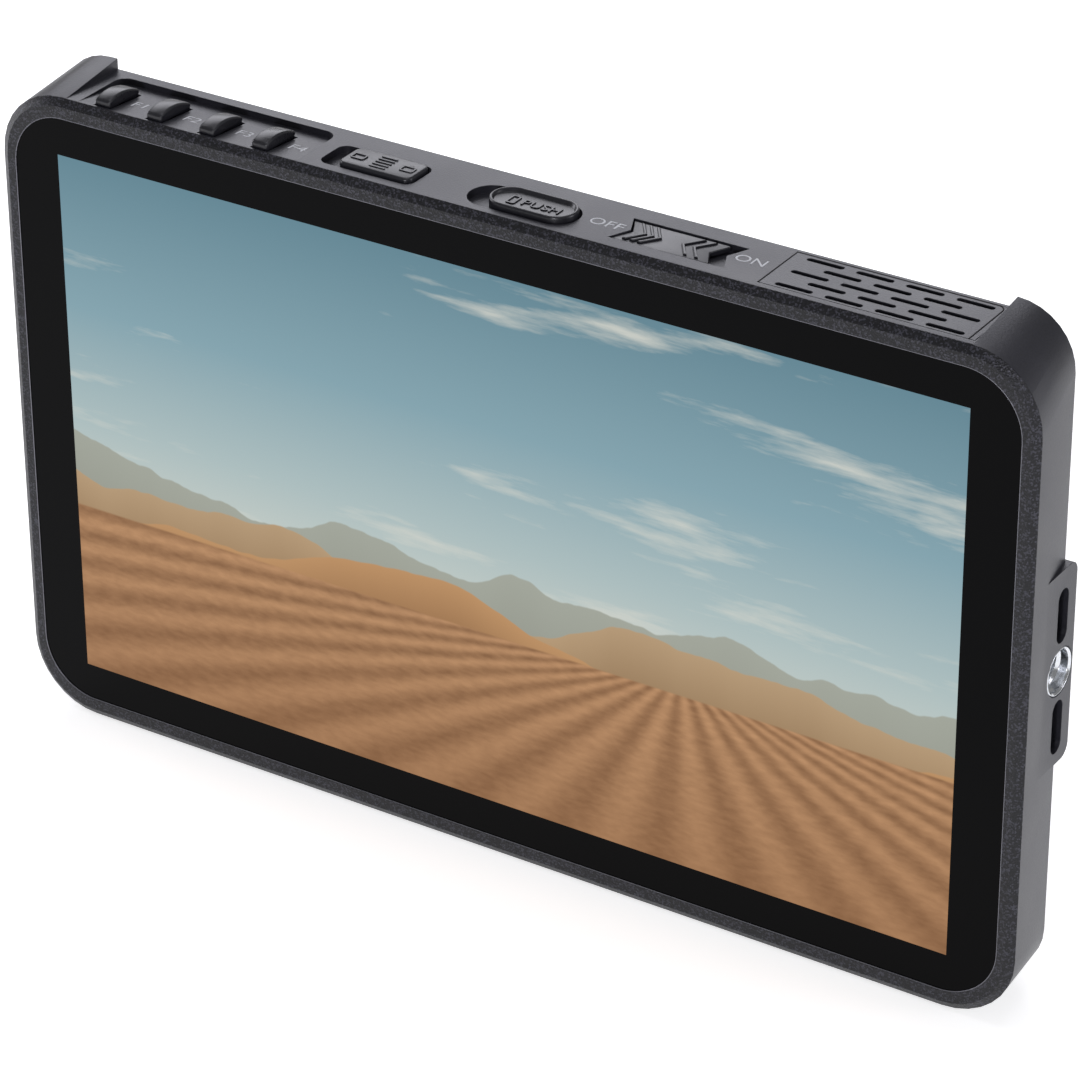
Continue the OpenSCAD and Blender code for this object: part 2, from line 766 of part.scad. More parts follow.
module latch_spring() color("#c9cbcd") placed() {
    r = 1.1;
    wire = 0.3;
    x1 = release_x - link_w / 2;
    pitch = (spring_len - 2 * wire) / (spring_turns - 1);
    for (i = [0:spring_turns - 1])
        translate([x1 - wire - i * pitch, small_board_y0 + 3, link_z + link_t / 2 + 0.1])
            rotate([0, 90, 0]) rotate_extrude() translate([r, 0]) circle(wire, $fn = 16);
    translate([x1 - spring_len, small_board_y0 + 3, link_z + link_t / 2 + r + 0.1])
        rotate([0, 90, 0]) cylinder(r = wire * 0.8, h = spring_len, $fn = 16);
}

module battery_latch() color("#6f7276") placed() {
    pin_x = latch_x - 1.6;
    // Pin in the link's slot
    translate([pin_x, latch_pin_y, link_z - 2.4]) cylinder(r = latch_pin_r, h = link_t + 2.4 + 0.5);
    // Upright plate and its head
    span([latch_x - latch_w / 2, latch_pin_y - latch_t / 2, hook_z],
         [latch_x + latch_w / 2, latch_pin_y + latch_t / 2, link_z - gap]);
    // Hook that holds the battery
    difference() {
        span([latch_x - hook_w / 2, latch_pin_y, hook_z],
             [latch_x + hook_w / 2, cover_depth + plate_t + hook_proud, hook_z + hook_h]);
        translate([0, cover_depth + plate_t, hook_z + hook_h]) rotate([45, 0, 0])
            translate([-50, 0, 0]) cube([100, 10, 10]);
    }
}

module power_slider() color("#232428") placed() {
    x0 = power_x0 + gap;
    x1 = power_x0 + power_len - power_travel - gap;
    ym = (power_y0 + power_y1) / 2;
    deck_feature(slider_under, body_h - 0.2)
        swallowtail(x0, x1, power_y0 + gap, power_y1 - gap, power_notch);
    // Chevron ridges, pointing at each other
    for (c = [[x0 + 2, 1], [x0 + 4.4, 1], [x1 - 6.6, -1], [x1 - 4.2, -1]])
        deck_feature(body_h - 0.5, body_h + 0.25) chevron(c[0], ym, c[1]);
    slider_stem(power_x0 + power_len / 2 - 1, slider_y + 0.9, deck_under - 0.4);
    x = power_x0 + power_len / 2 - 1;
    span([x - 1, slider_y + 0.3, small_board_top + 1], [x + 1, slider_y + 1.5, deck_under]);
}

// V-shaped ridge whose point looks along X
module chevron(x, ym, dir) {
    half = 2.9;
    bow = 2;
    t = 0.9;
    tip = dir > 0 ? x + bow : x;
    tail = dir > 0 ? x : x + bow;
    polygon([
        [tail, ym - half], [tail + t, ym - half], [tip + t, ym],
        [tail + t, ym + half], [tail, ym + half], [tip, ym]
    ]);
}

module power_switch() color("#9a9da0") placed()
    slide_switch(power_x0 + power_len / 2 - 1, slider_y + 0.9, power_travel, 1);

module speaker_grille() color("#2b2c30") placed() {
    rows = 5;
    difference() {
        span([grille_x0 + seam, grille_y0 + seam, body_h - grille_t],
             [grille_x0 + grille_w - seam, grille_y1 - seam, body_h]);
        for (row = [0:rows - 1], i = [0:(row % 2 == 0 ? 3 : 2)]) {
            // Every second row is shifted by half a slot
            slot_x = grille_x0 + 5.2 + (i + (row % 2) / 2) * slot_pitch;
            deck_feature(body_h - past, body_h + past)
                translate([slot_x, grille_y0 + 1 + row * slot_row_pitch]) obround(slot_len, slot_w);
        }
    }
}

module speaker() color("#18181a") placed() {
    middle = [grille_x0 + grille_w / 2 - 1, (speaker_y0 + speaker_y1) / 2];
    difference() {
        span([grille_x0 + 3, speaker_y0, deck_under - 3.4],
             [grille_x0 + grille_w - 5, speaker_y1, deck_under - 0.2]);
        deck_feature(deck_under - 0.8, deck_under + past) translate(middle) obround(cone[0], cone[1]);
    }
    deck_feature(deck_under - 1.2, deck_under - 0.5) translate(middle) obround(coil[0], coil[1]);
}

// Threaded insert, along +Z, its mouth at the top
module insert() {
    difference() {
        cylinder(r = insert_r, h = insert_len);
        translate([0, 0, -1]) cylinder(r = thread_r, h = insert_len + 2);
    }
}

module side_socket() color("#d8dadc") placed()
    translate([side_boss_x - insert_len, side_socket_y, side_socket_z]) rotate([0, 90, 0]) insert();

module bottom_socket() color("#d8dadc") placed()
    translate([0, bottom_socket_y, insert_len]) rotate([180, 0, 0]) insert();

// Rectangular connector shell, open to the left
module port_shell(w, h, z, t, tongue) {
    difference() {
        span([port_face_x, port_y - h / 2, z - w / 2], [port_face_x + port_len, port_y + h / 2, z + w / 2]);
        span([port_face_x - 1, port_y - h / 2 + t, z - w / 2 + t],
             [port_face_x + port_len - 2, port_y + h / 2 - t, z + w / 2 - t]);
    }
    span([port_face_x + 1.5, port_y - tongue / 2, z - w / 2 + 2.2],
         [port_face_x + port_len - 1, port_y + tongue / 2, z + w / 2 - 2.2]);
}

module hdmi_ports() color("#c3c5c7") placed()
    for (z = hdmi_zs) port_shell(hdmi_w, hdmi_h, z, 0.4, 1.2);

module usb_port() color("#c3c5c7") placed() port_shell(usb_w, usb_h, usb_z, 0.3, 0.7);

module headphone_jack() color("#161618") placed()
    translate([port_face_x, port_y, jack_z]) rotate([0, 90, 0]) difference() {
        cylinder(r = jack_r, h = jack_len);
        translate([0, 0, -1]) cylinder(r = 1.75, h = jack_len - 1);
    }

module power_inlet() color("#161618") placed()
    translate([port_face_x, port_y, inlet_z]) rotate([0, 90, 0]) {
        difference() {
            cylinder(r = inlet_r, h = jack_len);
            translate([0, 0, -1]) cylinder(r = 2.75, h = jack_len - 1);
        }
        translate([0, 0, 1.5]) cylinder(r = 1, h = jack_len - 1.5);
    }

// Screw along +Y, its head outwards
module machine_screw(r, len, head_r, head_h) {
    rotate([90, 0, 0]) {
        cylinder(r = r, h = len);
        difference() {
            translate([0, 0, -head_h]) cylinder(r = head_r, h = head_h);
            translate([0, 0, -head_h - 1]) cylinder(r = head_r * 0.45, h = head_h * 0.5 + 1, $fn = 6);
        }
    }
}

module cover_screws() color("#3a3b3e") placed()
    for (p = cover_screw_places()) translate([p[0], shell_depth + cover_head_sink, p[1]])
        machine_screw(screw_r, cover_screw_len, head_r, head_h);

module board_screws() color("#b5b8bb") placed()
    for (p = board_screw_places()) translate([p[0], board_rear, p[1]])
        machine_screw(screw_r, board_screw_len, head_r, head_h);

module plate_screws() color("#3a3b3e") placed()
    for (p = plate_screw_places()) translate([p[0], cover_depth + plate_head_sink, p[1]])
        machine_screw(screw_r, plate_screw_len, head_r, plate_head_sink);

module key_board_screws() color("#b5b8bb") placed()
    for (x = post_xs) translate([x, post_y, small_board_z]) rotate([-90, 0, 0])
        machine_screw(small_screw_r, plate_screw_len, small_head_r, small_head_h);

front_frame();
cover_glass();
glass_adhesive();
lcd_panel();
backlight_tray();
rear_cover();
battery_plate();
battery_contacts();
main_board();
processor_shield();
screen_cable();
key_board();
key_switches();
f1_key();
f2_key();
f3_key();
f4_key();
function_slider();
function_switch();
release_slider();
release_link();
latch_spring();
battery_latch();
power_slider();
power_board();
power_switch();
speaker_grille();
speaker();
side_socket();
bottom_socket();
hdmi_ports();
usb_port();
headphone_jack();
power_inlet();
cover_screws();
board_screws();
key_board_screws();
plate_screws();
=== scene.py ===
# %% [markdown]
# A camera-top field monitor: a slim black aluminium body round a seven-inch screen, with keys
# and sliders in its upper edge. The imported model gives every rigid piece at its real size. This
# script dresses those pieces, replaces the ones that need finer forms, and lights the result.

# %% Load the frame
import math

import bmesh
import bpy
from mathutils import Matrix, Vector


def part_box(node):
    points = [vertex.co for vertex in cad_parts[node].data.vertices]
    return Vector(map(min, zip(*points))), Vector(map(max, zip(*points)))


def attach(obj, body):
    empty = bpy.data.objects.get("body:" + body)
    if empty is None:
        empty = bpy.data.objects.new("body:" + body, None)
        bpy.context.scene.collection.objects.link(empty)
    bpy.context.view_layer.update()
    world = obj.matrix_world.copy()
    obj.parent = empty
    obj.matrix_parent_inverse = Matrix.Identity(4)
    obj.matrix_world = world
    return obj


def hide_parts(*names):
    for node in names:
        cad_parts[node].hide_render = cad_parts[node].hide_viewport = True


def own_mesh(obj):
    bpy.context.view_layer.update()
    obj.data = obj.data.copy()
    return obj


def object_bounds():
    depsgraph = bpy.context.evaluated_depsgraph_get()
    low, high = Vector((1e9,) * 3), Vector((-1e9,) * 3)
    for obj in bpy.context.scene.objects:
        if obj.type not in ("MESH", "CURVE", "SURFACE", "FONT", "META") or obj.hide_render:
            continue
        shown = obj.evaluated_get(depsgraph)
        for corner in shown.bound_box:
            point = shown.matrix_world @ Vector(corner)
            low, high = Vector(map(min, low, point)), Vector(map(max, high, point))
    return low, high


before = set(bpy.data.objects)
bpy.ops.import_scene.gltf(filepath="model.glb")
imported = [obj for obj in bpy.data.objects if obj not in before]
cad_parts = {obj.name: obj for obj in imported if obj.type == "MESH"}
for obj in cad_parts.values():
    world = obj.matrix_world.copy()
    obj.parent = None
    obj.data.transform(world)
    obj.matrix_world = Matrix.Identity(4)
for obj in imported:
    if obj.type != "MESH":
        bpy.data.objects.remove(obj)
cad_box = [list(corner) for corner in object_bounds()]
MM = 0.001
front_y = cad_box[0][1]
print("CAD box in mm:", [[round(v / MM, 1) for v in corner] for corner in cad_box])


# %% [markdown]
# Sizes come from the frame where a node shows them, so the script follows the CAD model. The
# deck is the top face of the body: the grille lies flush in it, so the grille's box gives it.
# The panel is a little larger than its picture on every side.

# %% Places read from the frame
def corners(node):
    low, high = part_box(node)
    return Vector(low), Vector(high)


def plan_centre(low, high):
    return (low.x + high.x) / 2, (low.y + high.y) / 2


deck_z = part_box("speaker_grille")[1][2]
glass_low, glass_high = corners("cover_glass")
panel_low, panel_high = corners("lcd_panel")
panel_margin = 1.3 * MM
picture_w = panel_high.x - panel_low.x - 2 * panel_margin
picture_h = panel_high.z - panel_low.z - 2 * panel_margin
screen_centre = Vector((0, front_y, (panel_low.z + panel_high.z) / 2))
print(f"picture {picture_w / MM:.1f} by {picture_h / MM:.1f} mm, deck at {deck_z / MM:.1f} mm")


# %% [markdown]
# Colours are written as sRGB hex values, as a paint chart gives them, and turned to the linear
# values that Blender works in. One helper adds a node, sets it up and links its inputs. An input
# is a plain value, a socket, or a whole node, which then gives its first open output.

# %% Colour and node helpers
def srgb(code):
    channels = [int(code[i:i + 2], 16) / 255 for i in (1, 3, 5)]
    linear = [c / 12.92 if c <= 0.04045 else ((c + 0.055) / 1.055) ** 2.4 for c in channels]
    return (*linear, 1.0)


def add(tree, kind, inputs=None, **settings):
    node = tree.nodes.new(kind)
    for name, value in settings.items():
        setattr(node, name, value)
    for key, value in (inputs or {}).items():
        if isinstance(value, bpy.types.Node):
            value = next(socket for socket in value.outputs if socket.enabled)
        if isinstance(value, bpy.types.NodeSocket):
            tree.links.new(value, node.inputs[key])
        else:
            node.inputs[key].default_value = value
    return node


def new_material(name, **sockets):
    material = bpy.data.materials.new(name)
    material.use_nodes = True
    tree = material.node_tree
    shader = tree.nodes["Principled BSDF"]
    for key, value in sockets.items():
        shader.inputs[key.replace("_", " ")].default_value = value
    return material, tree, shader


# %% [markdown]
# Most finishes here share a build: a base colour that drifts slightly, a fine grain that tilts
# the surface, and a roughness that varies with it. The grain size is a real size in millimetres.
# The Bevel node rounds the light on each sharp edge, as a deburred metal or moulded edge does.
# Noise on Object coordinates was chosen because it needs no unwrapping and moves with the piece.

# %% A grained surface
drift_mm = 18
tone_span = 0.3
rough_span = 0.4


def grained(name, dark, light, metallic, roughness, grain_mm, depth_mm, spread=0.06, edge_mm=0.12,
            **sockets):
    material, tree, shader = new_material(name, Metallic=metallic, **sockets)
    place = add(tree, "ShaderNodeTexCoord").outputs["Object"]
    grain = add(tree, "ShaderNodeTexNoise", {
        "Vector": place, "Scale": 1 / (grain_mm * MM), "Detail": 3.0})
    drift = add(tree, "ShaderNodeTexNoise", {
        "Vector": place, "Scale": 1 / (drift_mm * MM), "Detail": 2.0})
    # The two noises add up to about 1, and a span is how far from 1 the last tone lies.
    mixed = add(tree, "ShaderNodeMath", {0: grain, 1: drift}, operation="ADD")
    tone = add(tree, "ShaderNodeMapRange", {
        "Value": mixed, "From Min": 1 - tone_span, "From Max": 1 + tone_span})
    colour = add(tree, "ShaderNodeMix", {
        "Factor": tone, "A": srgb(dark), "B": srgb(light)}, data_type="RGBA")
    rough = add(tree, "ShaderNodeMapRange", {
        "Value": mixed, "From Min": 1 - rough_span, "From Max": 1 + rough_span,
        "To Min": roughness - spread, "To Max": roughness + spread})
    edge = add(tree, "ShaderNodeBevel", {"Radius": edge_mm * MM}, samples=6)
    bump = add(tree, "ShaderNodeBump", {
        "Height": grain, "Distance": depth_mm * MM, "Strength": 1.0, "Normal": edge})
    tree.links.new(colour.outputs["Result"], shader.inputs["Base Color"])
    tree.links.new(rough.outputs["Result"], shader.inputs["Roughness"])
    tree.links.new(bump.outputs["Normal"], shader.inputs["Normal"])
    return material


# %% [markdown]
# The finishes of the outside. The body is aluminium, bead blasted and then anodised black. The
# dyed oxide is a clear skin over metal, so it is a dark base, only partly metallic, with a skin
# reflection that grows at a glancing angle. Keys and covers are plastic from a spark-eroded mould.
# The values after the colours are metallic, roughness, grain size and grain depth.

# %% Finishes of the outside
# Dark blue-grey with fine grit, and paler where it is seen at a glancing angle, as the deck is.
anodised = grained("black anodised blasted aluminium", "#232329", "#2E2E36", 0.2, 0.42, 0.28, 0.03,
                   IOR=1.62)
# The same skin on punched sheet, a shade darker, which sets the grille apart from the deck.
grille_metal = grained("black anodised aluminium grille", "#212127", "#2C2C34", 0.2, 0.40, 0.28,
                       0.03, IOR=1.62)
# Bare metal where the cutter broke the edge: a fine pale line round the glass.
turned_edge = grained("machined bare aluminium edge", "#6E6E75", "#85858C", 1.0, 0.3, 0.3, 0.004)
# Painted shade: dull black laid in the gap round the grille, where there is only shadow. It gives
# back almost no light, so that the gap reads as a dark line.
shadow_gap = grained("black bead of painted shade in the grille gap", "#08080A", "#0E0E10", 0.0, 0.8, 0.4, 0.004)
# Even satin black with a faint pebble from the mould, for the rear half.
moulded = grained("moulded black ABS", "#1D1E22", "#26272C", 0.0, 0.46, 0.30, 0.012)
# A shallower mould texture than the covers', so the caps' curves carry soft highlights.
soft_key = grained("satin moulded black ABS", "#1B1B20", "#25252B", 0.0, 0.30, 0.35, 0.006,
                   edge_mm=0.08)
# A bright cool mirror that breaks up on the thread.
bright = grained("nickel-plated brass", "#C9CCD0", "#E2E4E7", 1.0, 0.18, 0.5, 0.002, spread=0.04)
print("outside finishes ready")


# %% [markdown]
# The front rim is blasted harder than the rest, so its grit is pitted and its skin reflects less. Its
# darker base colour is partly that harder blast and partly painted shade, as it faces the dark side
# of the studio, and its brightest grit cells are painted glints. It is the same piece of metal as the
# deck, so it is not a second material but a mask on the depth into the body. The grit is about 0.1 mm
# on the real rim and is drawn at 0.24 mm, so that it shows.

# %% Hard-blasted front rim, with painted shade and painted glints
def blasted_rim_with_painted_shade(material, rim_mm=0.95, fade_mm=0.1, grit_mm=0.24, pit_mm=0.05):
    tree = material.node_tree
    shader = tree.nodes["Principled BSDF"]
    place = add(tree, "ShaderNodeTexCoord").outputs["Object"]
    depth = add(tree, "ShaderNodeSeparateXYZ", {"Vector": place}).outputs["Y"]
    edge = front_y + rim_mm * MM
    rim = add(tree, "ShaderNodeMapRange", {
        "Value": depth, "From Min": edge, "From Max": edge - fade_mm * MM})
    cells = add(tree, "ShaderNodeTexVoronoi", {"Vector": place, "Scale": 1 / (grit_mm * MM)})
    # A cell's red is a random value of its own. The grit cells above 0.62 are painted lighter as
    # glints, fully from 0.9.
    chance = add(tree, "ShaderNodeSeparateColor", {"Color": cells.outputs["Color"]})
    painted_glint = add(tree, "ShaderNodeMapRange", {"Value": chance, "From Min": 0.62, "From Max": 0.9})
    grit_with_painted_glints = add(tree, "ShaderNodeMix", {
        "Factor": painted_glint, "A": srgb("#17171B"), "B": srgb("#42424B")}, data_type="RGBA")
    plain = shader.inputs["Base Color"].links[0].from_socket
    # The rim takes the grit colour, darker than the deck: partly its harder blast, partly painted
    # shade.
    both = add(tree, "ShaderNodeMix", {"Factor": rim, "A": plain, "B": grit_with_painted_glints}, data_type="RGBA")
    dull = add(tree, "ShaderNodeMapRange", {"Value": rim, "To Min": 0.5, "To Max": 0.3})
    smooth = shader.inputs["Normal"].links[0].from_socket
    pits = add(tree, "ShaderNodeBump", {
        "Height": cells.outputs["Distance"], "Distance": pit_mm * MM, "Strength": rim,
        "Normal": smooth})
    tree.links.new(both.outputs["Result"], shader.inputs["Base Color"])
    tree.links.new(dull.outputs["Result"], shader.inputs["Specular IOR Level"])
    tree.links.new(pits.outputs["Normal"], shader.inputs["Normal"])


blasted_rim_with_painted_shade(anodised)
print("rim finish ready")


# %% [markdown]
# The finishes of the inside and the back, seen through slots and connector mouths. They share the
# build of the outside ones, because that grain at another size is what tells them apart.

# %% Finishes of the inside
# Glossy lacquer over glass cloth: a deep green, slightly mottled.
board = grained("green solder mask on fibreglass", "#123524", "#1B4A33", 0.0, 0.32, 1.2, 0.01)
# Pale folded sheet with slightly cloudy reflections.
tinned = grained("tinned steel", "#9EA2A6", "#B9BCBF", 1.0, 0.33, 0.8, 0.004)
# Plain grey metal with a broad, even sheen.
steel = grained("rolled stainless steel", "#85888C", "#A0A3A7", 1.0, 0.36, 0.6, 0.004)
# Amber film with a smooth gloss.
polyimide = grained("polyimide film", "#8A5620", "#A76B2B", 0.0, 0.28, 2.0, 0.003)
# Matt black and slightly uneven, with no highlight.
tape = grained("black foam tape", "#0E0E0F", "#161618", 0.0, 0.8, 0.4, 0.03)
# Warm yellow metal with a clear highlight.
gold = grained("gold-plated contact", "#B98A3A", "#D2A652", 1.0, 0.24, 0.7, 0.003)
# Near black with a metal's highlight.
black_steel = grained("black-oxide steel screw", "#1B1C1E", "#27282B", 0.7, 0.35, 0.4, 0.004)
# Light grey with a silky highlight.
zinc = grained("zinc-plated steel screw", "#8E9195", "#A8ABAF", 1.0, 0.3, 0.4, 0.004)
# Dull black with an uneven surface.
paper_cone = grained("pressed paper cone", "#0D0D0E", "#171718", 0.0, 0.7, 0.6, 0.02)
# Plain black with a slight sheen.
nylon = grained("moulded black nylon", "#141416", "#1C1C1F", 0.0, 0.5, 0.5, 0.008)
print("inside finishes ready")


# %% [markdown]
# The front is one sheet of cover glass, laminated to the panel. Its rim is printed black on the
# back, and the lit picture shows through the middle. The picture is a plain made-up landscape:
# a pale teal sky with thin streaks of cloud over low hills, and a ploughed field. An image would
# be the usual way, but nodes need no file, and they read places as shares of the picture's size.

# %% Picture coordinates
def picture_nodes(tree):
    place = add(tree, "ShaderNodeTexCoord").outputs["Object"]
    parts = add(tree, "ShaderNodeSeparateXYZ", {"Vector": place})
    low = screen_centre.z - picture_h / 2
    across = add(tree, "ShaderNodeMapRange", {
        "Value": parts.outputs["X"], "From Min": -picture_w / 2, "From Max": picture_w / 2},
        clamp=False)
    upward = add(tree, "ShaderNodeMapRange", {
        "Value": parts.outputs["Z"], "From Min": low, "From Max": low + picture_h}, clamp=False)
    return across, upward


# %% [markdown]
# A sky is paler near the hills, so a colour ramp runs up the picture. The clouds are noise drawn
# out sideways, of which only the crests show.

# %% Sky
sky_stops = [(0.36, "#C6CEC8"), (0.5, "#ADBFC0"), (0.72, "#85A5B0"), (1.0, "#658896")]
clouds_across, clouds_upward, clouds_slice = 3.2, 13.0, 4.7


def sky_colour(tree, across, upward):
    ramp = add(tree, "ShaderNodeValToRGB", {"Fac": upward})
    stops = ramp.color_ramp.elements
    for index, (position, code) in ((0, sky_stops[0]), (1, sky_stops[-1])):
        stops[index].position, stops[index].color = position, srgb(code)
    for position, code in sky_stops[1:-1]:
        stops.new(position).color = srgb(code)
    wide = add(tree, "ShaderNodeMath", {0: across, 1: clouds_across}, operation="MULTIPLY")
    tall = add(tree, "ShaderNodeMath", {0: upward, 1: clouds_upward}, operation="MULTIPLY")
    stretched = add(tree, "ShaderNodeCombineXYZ", {"X": wide, "Y": tall, "Z": clouds_slice})
    cloud = add(tree, "ShaderNodeTexNoise", {
        "Vector": stretched, "Scale": 1.0, "Detail": 7.0, "Roughness": 0.58})
    streak = add(tree, "ShaderNodeMapRange", {
        "Value": cloud, "From Min": 0.57, "From Max": 0.72, "To Max": 0.8})
    return add(tree, "ShaderNodeMix", {
        "Factor": streak, "A": ramp, "B": srgb("#D8D8CE")}, data_type="RGBA")


# %% [markdown]
# Ridges are drawn from the farthest to the nearest, each one over the last. A ridge's height
# comes from one-dimensional noise along the picture's width. It has a base height, a swing and a
# coarseness, and is lighter along its top where the sun would catch it.

# %% Ridges
ridge_blur, ridge_shade = 0.003, 0.14


def ridge(tree, across, upward, backdrop, base, swing, coarseness, seed, top_code, foot_code):
    shifted = add(tree, "ShaderNodeMath", {0: across, 1: seed}, operation="ADD")
    wave = add(tree, "ShaderNodeTexNoise", {
        "W": shifted, "Scale": coarseness, "Detail": 5.0, "Roughness": 0.42}, noise_dimensions="1D")
    rise = add(tree, "ShaderNodeMath", {0: wave, 1: swing}, operation="MULTIPLY")
    height = add(tree, "ShaderNodeMath", {0: rise, 1: base}, operation="ADD")
    under_top = add(tree, "ShaderNodeMath", {0: height, 1: upward}, operation="SUBTRACT")
    inside = add(tree, "ShaderNodeMapRange", {
        "Value": under_top, "From Min": 0.0, "From Max": ridge_blur})
    depth = add(tree, "ShaderNodeMapRange", {
        "Value": under_top, "From Min": 0.0, "From Max": ridge_shade})
    slope = add(tree, "ShaderNodeMix", {
        "Factor": depth, "A": srgb(top_code), "B": srgb(foot_code)}, data_type="RGBA")
    return add(tree, "ShaderNodeMix", {
        "Factor": inside, "A": backdrop, "B": slope}, data_type="RGBA")


# %% [markdown]
# Furrows run to one point, a little above the edge of the field. Seen from that point each one
# has its own angle, so a sine of the angle draws them all. Fine noise breaks them into soil.

# %% Ploughed field
field_top, furrow_middle, furrow_count = 0.33, 0.71, 46.0
point_above, least_drop, field_blur = 0.05, 0.02, 0.004
soil_across, soil_upward = 60.0, 90.0
line_share, soil_share, soil_lift = 0.33, 0.9, 0.06


def furrow_lines(tree, across, upward):
    below = add(tree, "ShaderNodeMath", {0: field_top + point_above, 1: upward}, operation="SUBTRACT")
    drop = add(tree, "ShaderNodeMath", {0: below, 1: least_drop}, operation="MAXIMUM")
    beside = add(tree, "ShaderNodeMath", {0: across, 1: furrow_middle}, operation="SUBTRACT")
    slant = add(tree, "ShaderNodeMath", {0: beside, 1: drop}, operation="DIVIDE")
    eased = add(tree, "ShaderNodeMath", {0: slant, 1: 0.5}, operation="MULTIPLY")
    angle = add(tree, "ShaderNodeMath", {0: eased}, operation="ARCTANGENT")
    turns = add(tree, "ShaderNodeMath", {0: angle, 1: furrow_count}, operation="MULTIPLY")
    return add(tree, "ShaderNodeMath", {0: turns}, operation="SINE")


def soil_noise(tree, across, upward):
    wide = add(tree, "ShaderNodeMath", {0: across, 1: soil_across}, operation="MULTIPLY")
    tall = add(tree, "ShaderNodeMath", {0: upward, 1: soil_upward}, operation="MULTIPLY")
    spot = add(tree, "ShaderNodeCombineXYZ", {"X": wide, "Y": tall})
    return add(tree, "ShaderNodeTexNoise", {"Vector": spot, "Scale": 1.0, "Detail": 4.0})


def field(tree, across, upward, backdrop):
    line = add(tree, "ShaderNodeMath", {
        0: furrow_lines(tree, across, upward), 1: line_share}, operation="MULTIPLY")
    crumb = add(tree, "ShaderNodeMath", {
        0: soil_noise(tree, across, upward), 1: soil_share}, operation="MULTIPLY")
    tone = add(tree, "ShaderNodeMath", {0: line, 1: crumb}, operation="ADD")
    lifted = add(tree, "ShaderNodeMath", {0: tone, 1: soil_lift}, operation="ADD")
    furrow = add(tree, "ShaderNodeMix", {
        "Factor": lifted, "A": srgb("#8A6445"), "B": srgb("#BC8F68")}, data_type="RGBA")
    near = add(tree, "ShaderNodeMapRange", {"Value": upward, "From Min": 0.0, "From Max": 0.3})
    shaded = add(tree, "ShaderNodeMix", {
        "Factor": near, "A": srgb("#80583A"), "B": furrow}, data_type="RGBA")
    soil = add(tree, "ShaderNodeMix", {"Factor": 0.62, "A": shaded, "B": furrow}, data_type="RGBA")
    under_top = add(tree, "ShaderNodeMath", {0: field_top, 1: upward}, operation="SUBTRACT")
    inside = add(tree, "ShaderNodeMapRange", {
        "Value": under_top, "From Min": 0.0, "From Max": field_blur})
    return add(tree, "ShaderNodeMix", {
        "Factor": inside, "A": backdrop, "B": soil}, data_type="RGBA")


# %% [markdown]
# The sheet reflects little, because such screens have an anti-reflection coating, so its
# specular level is set low. The picture is emission, because a lit panel gives its own light.
# Outside the picture it is plain black ink behind glass.

# %% Cover glass
ridges = [(0.36, 0.16, 5.0, 3.1, "#A3A79C", "#979A8F"),
          (0.29, 0.20, 3.4, 9.4, "#B69A78", "#937656"),
          (0.23, 0.22, 2.3, 5.5, "#BD9165", "#8A6342")]


def lit_glass():
    # A smooth black border with hardly a reflection, round a picture that glows evenly.
    material, tree, shader = new_material(
        "coated cover glass over a lit panel", Base_Color=srgb("#020203"), Roughness=0.06,
        Specular_IOR_Level=0.06, Emission_Strength=0.97)
    across, upward = picture_nodes(tree)
    picture = sky_colour(tree, across, upward)
    for base, swing, coarseness, seed, top_code, foot_code in ridges:
        picture = ridge(tree, across, upward, picture, base, swing, coarseness, seed, top_code,
                        foot_code)
    picture = field(tree, across, upward, picture)
    half = 0.5
    from_middle = []
    for share in (across, upward):
        offset = add(tree, "ShaderNodeMath", {0: share, 1: half}, operation="SUBTRACT")
        from_middle.append(add(tree, "ShaderNodeMath", {0: offset}, operation="ABSOLUTE"))
    farther = add(tree, "ShaderNodeMath", {0: from_middle[0], 1: from_middle[1]}, operation="MAXIMUM")
    shown = add(tree, "ShaderNodeMath", {0: farther, 1: half}, operation="LESS_THAN")
    glow = add(tree, "ShaderNodeMix", {
        "Factor": shown, "A": srgb("#000000"), "B": picture}, data_type="RGBA")
    tree.links.new(glow.outputs["Result"], shader.inputs["Emission Color"])
    return material


glass_finish = lit_glass()
print("screen finish ready, with", len(ridges), "ridges")


# %% [markdown]
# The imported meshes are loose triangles. A small Geometry Nodes tree welds them and shades each
# edge smooth or sharp by its angle, so round corners look round and folds stay crisp. The tree
# stays on the node as a modifier, because a CAD mesh itself is never changed.

# %% Edge shading for the CAD nodes
def edge_shading_tree(sharp_deg=28, weld_mm=0.002):
    tree = bpy.data.node_groups.new("edge shading", "GeometryNodeTree")
    tree.interface.new_socket("Geometry", in_out="INPUT", socket_type="NodeSocketGeometry")
    angle = tree.interface.new_socket("Sharp angle", in_out="INPUT", socket_type="NodeSocketFloat")
    angle.default_value = math.radians(sharp_deg)
    weld = tree.interface.new_socket("Weld distance", in_out="INPUT", socket_type="NodeSocketFloat")
    weld.default_value = weld_mm * MM
    tree.interface.new_socket("Geometry", in_out="OUTPUT", socket_type="NodeSocketGeometry")
    given = add(tree, "NodeGroupInput").outputs
    merged = add(tree, "GeometryNodeMergeByDistance", {
        "Geometry": given["Geometry"], "Distance": given["Weld distance"]})
    smooth = add(tree, "GeometryNodeSetShadeSmooth", {
        "Geometry": merged, "Shade Smooth": True}, domain="FACE")
    bend = add(tree, "GeometryNodeInputMeshEdgeAngle").outputs["Unsigned Angle"]
    fold = add(tree, "FunctionNodeCompare", {0: bend, 1: given["Sharp angle"]},
               operation="GREATER_THAN")
    sharp = add(tree, "GeometryNodeSetShadeSmooth", {
        "Geometry": smooth, "Selection": fold, "Shade Smooth": False}, domain="EDGE")
    add(tree, "NodeGroupOutput", {0: sharp})
    return tree


# %% [markdown]
# Every CAD node that stays in view gets the finish of its real material. A table of names keeps
# that in one place, so a node that is left out is easy to find. Nodes that a finer piece replaces
# are not in it.

